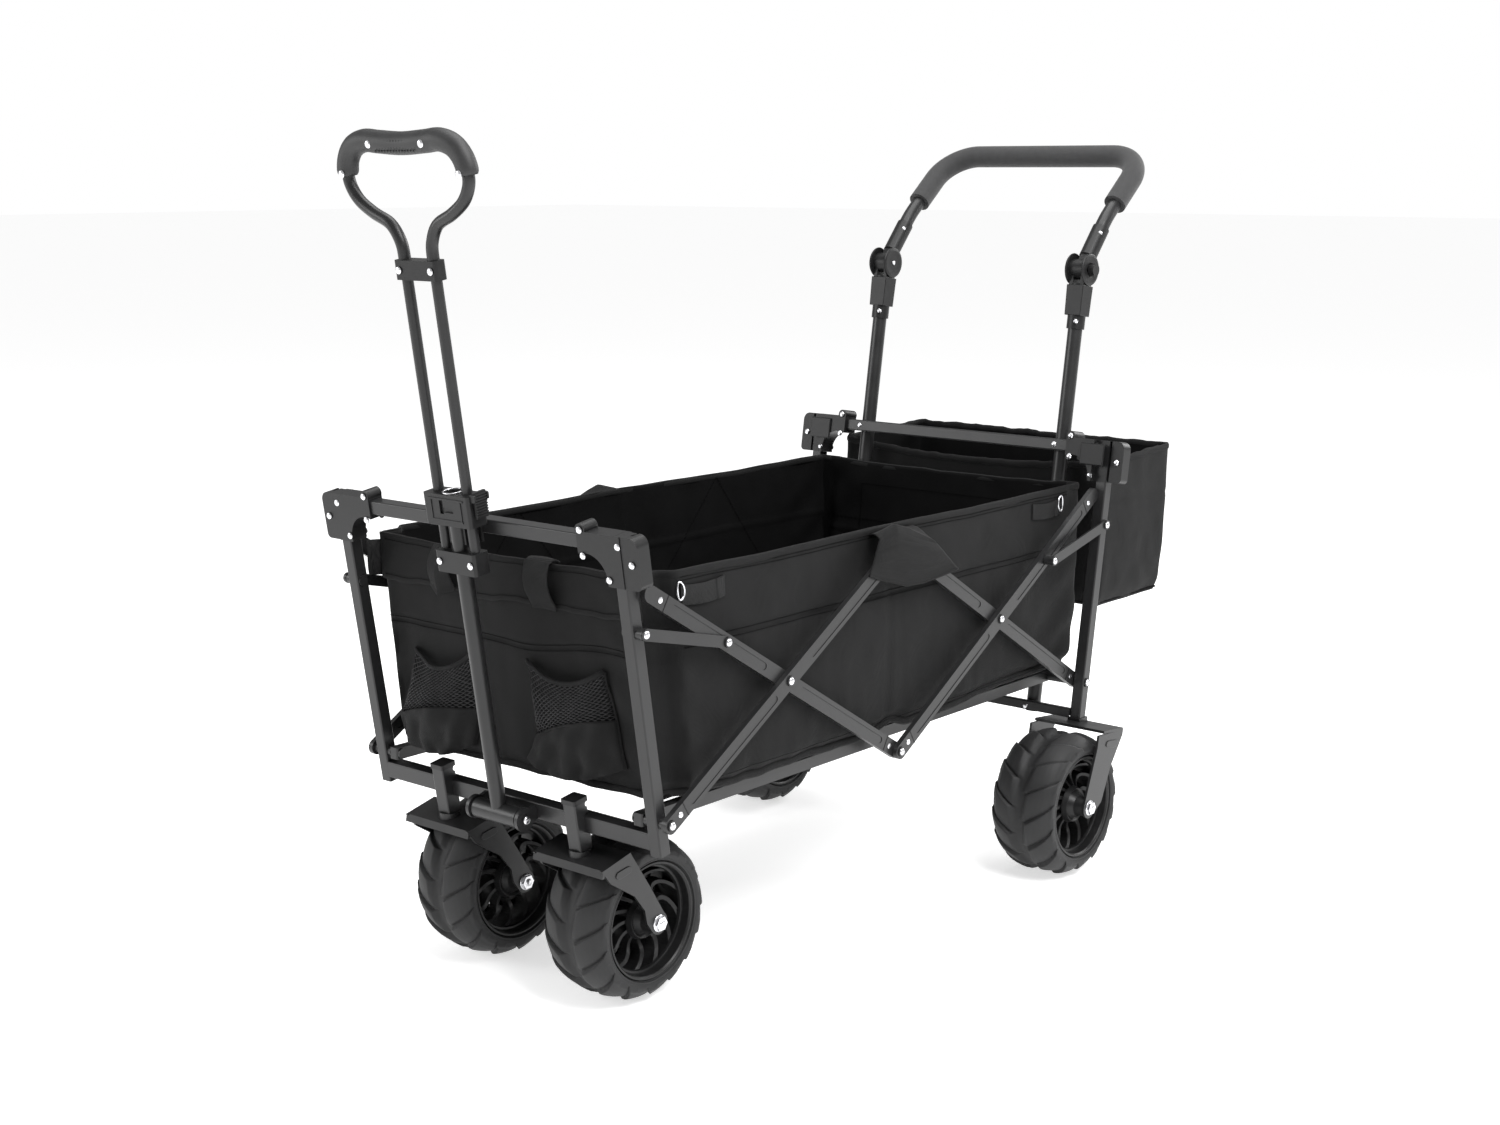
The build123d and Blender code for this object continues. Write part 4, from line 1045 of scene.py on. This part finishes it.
# washers and bolt ends at the forks
for word, wx, wy, s in WHEELS:
    body = f"caster_{word[6:]}" if word.startswith("front") else "rear_frame"
    parts = []
    for side in (1, -1):
        face = Vector((wx + side * WASHER_X, wy, WHEEL_R))
        parts.append(revolve_x(face, ((0, 0.0052), (0, 0.0105), (side * 0.0012, 0.0105),
                                      (side * 0.0012, 0.0052)), 32))
        parts.append(dome(Vector((wx + side * BOLT_X, wy, WHEEL_R)), X * side, 0.0052, 0.0020))
    rivets(f"bolt_ends_{word}", parts, body)

# a short pressed rib at the top of each fork arm
FRONT_RIB = ((-0.4380, 0.1830), (-0.4180, 0.1860), (-0.4135, 0.1800), (-0.4195, 0.1765), (-0.4350, 0.1740),
             (-0.4400, 0.1780), (-0.4380, 0.1830))
REAR_RIB = ((0.4240, 0.1860), (0.4000, 0.1890), (0.3950, 0.1830), (0.4020, 0.1790), (0.4200, 0.1760),
            (0.4260, 0.1800), (0.4240, 0.1860))
for word, wx, wy, s in WHEELS:
    at_front = word.startswith("front")
    body = f"caster_{word[6:]}" if at_front else "rear_frame"
    outline = smooth_path([Vector((0, y, z)) for y, z in (FRONT_RIB if at_front else REAR_RIB)], 5)
    outline = [(p.y, p.z) for p in outline[:-1]]
    parts = []
    for side in (1, -1):
        base = Vector((wx + side * RIB_X, 0, 0))
        parts.append(plate(outline if side > 0 else list(reversed(outline)), base, (Y, Z, X * side), 0.0013))
    rib = combine(f"fork_rib_{word}", parts, PAINT, body, smooth=False)
    add_bevel(rib, 0.0008, 30)


# ---- pull handle: bent rods and moulded grip ----
NECK = [(0.0240, 0.6450), (0.0236, 0.6640), (0.0258, 0.6840), (0.0385, 0.7035), (0.0640, 0.7155),
        (0.0850, 0.7290),
        (0.0962, 0.7450), (0.0982, 0.7600), (0.0935, 0.7760), (0.0810, 0.7890), (0.0610, 0.7950),
        (0.0380, 0.7935),
        (0.0, 0.7915)]


def loop_path():
    right = [handle(x, a) for x, a in NECK]
    left = [handle(-x, a) for x, a in reversed(NECK[:-1])]
    return smooth_path(right + left, 6)


LOOP = loop_path()
loop = tube("pull_loop", LOOP, 0.0070, PAINT, "pull_slide", ring=20)
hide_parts("pull_grip")


def grip_section(t, a):
    """An oval grip: deeper across the hand, with gentle finger swells underneath."""
    side = abs(t * 2 - 1)
    end = ease((1 - side) / 0.05)
    swell = 0.0004 * math.cos(t * math.pi * 14) * (1 - ease((side - 0.3) / 0.2))
    rise = 0.0118 + 0.0010 * (1 - ease((side - 0.45) / 0.25)) + swell
    depth = 0.0128
    k = 0.86 + 0.14 * end
    return depth * k * math.cos(a), rise * k * math.sin(a)


total = len(LOOP)
GRIP_SPAN = LOOP[int(total * 0.285): total - int(total * 0.285)]
tube("grip_cover", GRIP_SPAN, grip_section, GRIP, "pull_slide", ring=28)

# rows of dimples moulded into the grip's front face between its rivets
parts = []
for row in range(4):
    for k in range(14):
        x = -0.0320 + 0.0640 * (k + 0.5 * (row % 2)) / 13.5
        parts.append(dome(handle(x, 0.7845 + 0.0036 * row, 0.0112), HANDLE_OUT, 0.0017, 0.0012, n=6, rings=2))
combine("grip_dimples", parts, GRIP, "pull_slide")

parts = []
for x, a, w in ((0.0430, 0.7925, 0.0122), (-0.0430, 0.7925, 0.0122), (0.0960, 0.7600, 0.0118),
                (-0.0960, 0.7600, 0.0118)):
    parts.append(dome(handle(x, a, w), HANDLE_OUT, 0.0046, 0.0018))
for x in (0.026, -0.026):
    parts.append(dome(handle(x, 0.654, 0.0098), HANDLE_OUT, 0.0044, 0.0016))
    parts.append(dome(handle(x, 0.654, -0.0085), -HANDLE_OUT, 0.0044, 0.0016))
    parts.append(dome(handle(x, 0.317, 0.0133), HANDLE_OUT, 0.0044, 0.0016))
rivets("pull_rivets", parts, "pull_slide")

# bright ring and slot plate on the upper collar
v, f = revolve_x((0, 0, 0), ((0, 0.0108), (0, 0.0125), (0.0014, 0.0125), (0.0014, 0.0108)), 40)
ring_at = handle(0, 0.3995, 0)
up_handle = Vector((0, -HS, HC))
v = [ring_at + X * q[1] + up_handle * q[0] + X.cross(up_handle) * q[2] for q in (Vector(p) for p in v)]
piece("collar_ring", v, f, STEEL, "pull_handle")
parts = []
for x, a, wide, tall in ((0.0, 0.3685, 0.052, 0.0022), (0.0, 0.3935, 0.058, 0.0022)):
    parts.append(block(handle(x, a, 0.0137), (X, up_handle, HANDLE_OUT), (wide, tall, 0.0012)))
for x in (0.0245, -0.0245):
    parts.append(block(handle(x, 0.381, 0.0137), (X, up_handle, HANDLE_OUT), (0.0016, 0.022, 0.0012)))
combine("collar_ribs", parts, PLASTIC, "pull_handle", smooth=False)

# the ends of the hub's bolt
parts = [dome(Vector((s * 0.0465, HUB[0], HUB[1])), X * s, 0.0050, 0.0022) for s in (1, -1)]
rivets("hub_bolt_ends", parts, "front_frame")


# ---- pivots: dark bosses with a small bright rivet in the middle ----
for name in ("front_fasteners", "rear_fasteners", "scissor_front_rising_pins", "scissor_front_falling_pins",
             "scissor_rear_rising_pins"):
    frame["nodes"][name].data.materials[0] = PAINT
LINK_ROOT = front(0, 0.228)
LINK_TIP = (CROSS_F[0] - LINK_AT * math.cos(RISE), CROSS_F[1] + LINK_AT * math.sin(RISE))
BAR_FACE = 0.2580
PIVOT_RIVETS = (
    ("front_frame", (LOW_F, BAR_FACE), ((LINK_ROOT.y, LINK_ROOT.z), 0.2541)),
    ("rear_frame", ((PIVOT_Y, PIVOT_Z), 0.2680), ((-LINK_ROOT.y, LINK_ROOT.z), 0.2716)),
    ("scissor_a2", (CROSS_F, BAR_FACE), (MID_TOP, BAR_FACE)),
    ("scissor_a1", (MID_LOW, BAR_FACE)),
    ("scissor_b2", ((-CROSS_F[0], CROSS_F[1]), BAR_FACE)),
    ("front_link", (LINK_TIP, 0.2540)),
    ("rear_link", ((-LINK_TIP[0], LINK_TIP[1]), 0.2715)),
)
for body, *places in PIVOT_RIVETS:
    rivets(f"pivot_rivets_{body}", [dome(Vector((s * x, at[0], at[1])), X * s, 0.0046, 0.0018) for at,
                                    x in places for s in (1, -1)], body)

# ---- push joints: round side discs, shoulders and sleeve rivets ----
PUSH_X, PUSH_W = 0.176, -0.011
JOINT = rear(0, 0.590, PUSH_W)
LEG = Vector((0, 0.064, 0.073)).normalized()
UP = Vector((0, LS, LC))
discs, shoulders, low_rivets, high_rivets = [], [], [], []
for s in (1, -1):
    for side in (1, -1):
        face = Vector((s * PUSH_X + side * 0.0122, JOINT.y, JOINT.z))
        # the outer disc on the right has a hole round the push button
        hole = 0.0100 if (s, side) == (1, 1) else 0.0030
        dip = max(0.0110, hole + 0.0010)
        discs.append(revolve_x(face, ((0, hole), (0, 0.0225), (side * 0.0012, 0.0235), (side * 0.0030, 0.0225),
                                      (side * 0.0036, 0.0190), (side * 0.0030, dip), (side * 0.0030, hole)),
                               40))
    low_rivets.append(dome(Vector((s * (PUSH_X - 0.0158), JOINT.y, JOINT.z)), X * -s, 0.0034, 0.0014))
    # the lower sleeve squares off below the joint, clear of the tilting sleeve above it
    centre = rear(s * PUSH_X, 0.545, PUSH_W)
    shoulders.append(block(centre, (X, Vector((0, LC, -LS)), UP), (0.0262, 0.0262, 0.0440), 1.06))
    low_rivets.append(dome(rear(s * PUSH_X + 0.0080, 0.514, 0.0028), Vector((0.5, -0.85, 0)), 0.0032, 0.0014))
    sleeve = Vector((s * PUSH_X, JOINT.y, JOINT.z)) + LEG * 0.066
    high_rivets.append(dome(sleeve + Vector((0.0085, -0.0090, 0.0020)), Vector((0.62, -0.75, 0.2)), 0.0032,
                            0.0014))
cheeks = combine("push_joint_cheeks", discs + shoulders, PLASTIC, "rear_frame", smooth=False)
add_bevel(cheeks, 0.0012, 30)
rivets("push_lower_rivets", low_rivets, "rear_frame")
rivets("push_upper_rivets", high_rivets, "push_handle")

# ---- rivets on the connectors, crossbars and bars ----
parts = []
FR_POST, RE_POST = (0.224, 0.241), (0.249, 0.266)
for s in (1, -1):
    for x, h, w in ((FR_POST[0] - 0.0424, 0.3433, 0.0123), (FR_POST[0] - 0.0415, 0.3138, 0.0123),
                    (FR_POST[0] - 0.0052, 0.2899, 0.0123), (FR_POST[1] + 0.0136, 0.3112, 0.0113),
                    (0.2358, 0.3297, 0.0110)):
        parts.append(dome(front(s * x, h, w), FRONT_OUT, 0.0042, 0.0016))
    for x, h, w in ((FR_POST[0] - 0.0424, 0.3433, -0.0123), (FR_POST[0] - 0.0415, 0.3138, -0.0123)):
        parts.append(dome(front(s * x, h, w), -FRONT_OUT, 0.0042, 0.0016))
rivets("front_rivets", parts, "front_frame")
parts = []
for s in (1, -1):
    for x, h, w in ((RE_POST[0] - 0.0424, 0.3493, 0.0203), (RE_POST[0] - 0.0415, 0.3198, 0.0203),
                    (RE_POST[0] - 0.0052, 0.2959, 0.0193), (RE_POST[1] + 0.0136, 0.3172, 0.0103)):
        parts.append(dome(rear(s * x, h, w), REAR_OUT, 0.0042, 0.0016))
    parts.append(dome(rear(s * PUSH_X, 0.335, 0.0135), REAR_OUT, 0.0038, 0.0014))
    parts.append(dome(rear(s * PUSH_X, -0.048, 0.0120), REAR_OUT, 0.0038, 0.0014))
rivets("rear_rivets", parts, "rear_frame")
parts = [block(rear(s * 0.2455, 0.3260, 0.0205), (X, UP, REAR_OUT), (0.0380, 0.0310, 0.0030)) for s in (1, -1)]
pads = combine("rear_connector_pads", parts, PLASTIC, "rear_frame", smooth=False)
add_bevel(pads, 0.0014, 30)

INNER, OUTER = (0.2415, 0.2485), (0.249, 0.256)
BARS = (
    ("scissor_a2", "rising_front", OUTER, LOW_F, MID_TOP),
    ("scissor_a1", "falling_front", INNER, TIP_F, MID_LOW),
    ("scissor_b2", "rising_rear", OUTER, MID_LOW, (-TIP_F[0], TIP_F[1])),
    ("scissor_b1", "falling_rear", INNER, MID_TOP, (-LOW_F[0], LOW_F[1])),
)
for body, word, layer, a, b in BARS:
    a, b = Vector((0, a[0], a[1])), Vector((0, b[0], b[1]))
    run = (b - a).normalized()
    over = X.cross(run)
    dots, plugs = [], []
    for s in (1, -1):
        x = layer[1] if s > 0 else -layer[1]
        for end, way in ((a, run), (b, -run)):
            lift = 0.0016 if layer is OUTER else 0.0004
            dots.append(dome(end + way * 0.018 + X * x, X * s, 0.0036, lift))
            # end plug: the seam where the moulded end meets the bar
            plugs.append(block(end + way * 0.028 + X * (x + s * 0.0002), (way, over, X * s),
                               (0.0012, 0.0200, 0.0006)))
    rivets(f"bar_rivets_{word}", dots, body)
    combine(f"bar_plugs_{word}", plugs, PLASTIC, body, smooth=False)


# ---- floor, camera and soft light ----
def stage_floor():
    mesh = bpy.data.meshes.new("floor")
    size = 40.0
    corners = [(x * size, y * size, -0.0005) for x, y in ((-1, -1), (1, -1), (1, 1), (-1, 1))]
    mesh.from_pydata(corners, [], [(0, 1, 2, 3)])
    m = bpy.data.materials.new("floor")
    m.use_nodes = True
    shader = m.node_tree.nodes["Principled BSDF"]
    shader.inputs["Base Color"].default_value = (0.86, 0.86, 0.86, 1)
    shader.inputs["Roughness"].default_value = 0.9
    shader.inputs["Specular IOR Level"].default_value = 0.1
    shader.inputs["Emission Color"].default_value = (1, 1, 1, 1)
    shader.inputs["Emission Strength"].default_value = 0.60
    mesh.materials.append(m)
    o = bpy.data.objects.new("floor", mesh)
    bpy.context.scene.collection.objects.link(o)


stage_floor()

AZ, EL = math.radians(40.0776), math.radians(10.739)
camera_data = bpy.data.cameras.new("camera")
camera_data.sensor_width = 36.0
camera_data.lens = 49.81
camera_data.clip_start = 0.05
camera = bpy.data.objects.new("camera", camera_data)
bpy.context.scene.collection.objects.link(camera)
camera.location = (1.7599, -2.0882, 0.9812)
back = Vector((math.sin(AZ) * math.cos(EL), -math.cos(AZ) * math.cos(EL), math.sin(EL)))
camera.rotation_mode = "QUATERNION"
camera.rotation_quaternion = (-back).to_track_quat("-Z", "Y")
bpy.context.scene.camera = camera


def area_light(name, at, aim, size, power):
    data = bpy.data.lights.new(name, "AREA")
    data.shape = "RECTANGLE"
    data.size, data.size_y = size
    data.energy = power
    o = bpy.data.objects.new(name, data)
    bpy.context.scene.collection.objects.link(o)
    o.location = at
    o.rotation_mode = "QUATERNION"
    o.rotation_quaternion = (Vector(aim) - Vector(at)).to_track_quat("-Z", "Y")


area_light("key", (2.2, -0.6, 3.0), (0, 0, 0.4), (1.6, 1.6), 120)
area_light("fill", (-2.6, -2.8, 1.6), (0, -0.2, 0.4), (2.2, 1.6), 55)
area_light("top", (0.0, 0.3, 3.4), (0, 0, 0.4), (2.4, 2.4), 75)
area_light("rim", (1.0, 3.2, 2.0), (0, 0.2, 0.5), (2.4, 1.4), 60)

world = bpy.data.worlds.new("world")
bpy.context.scene.world = world
world.use_nodes = True
sky = world.node_tree.nodes["Background"]
sky.inputs["Color"].default_value = (1, 1, 1, 1)
seen = world.node_tree.nodes.new("ShaderNodeLightPath")
level = world.node_tree.nodes.new("ShaderNodeMapRange")
level.inputs["To Min"].default_value = 0.42
level.inputs["To Max"].default_value = 1.0
world.node_tree.links.new(seen.outputs["Is Camera Ray"], level.inputs["Value"])
world.node_tree.links.new(level.outputs["Result"], sky.inputs["Strength"])
bpy.context.scene.view_settings.view_transform = "Standard"
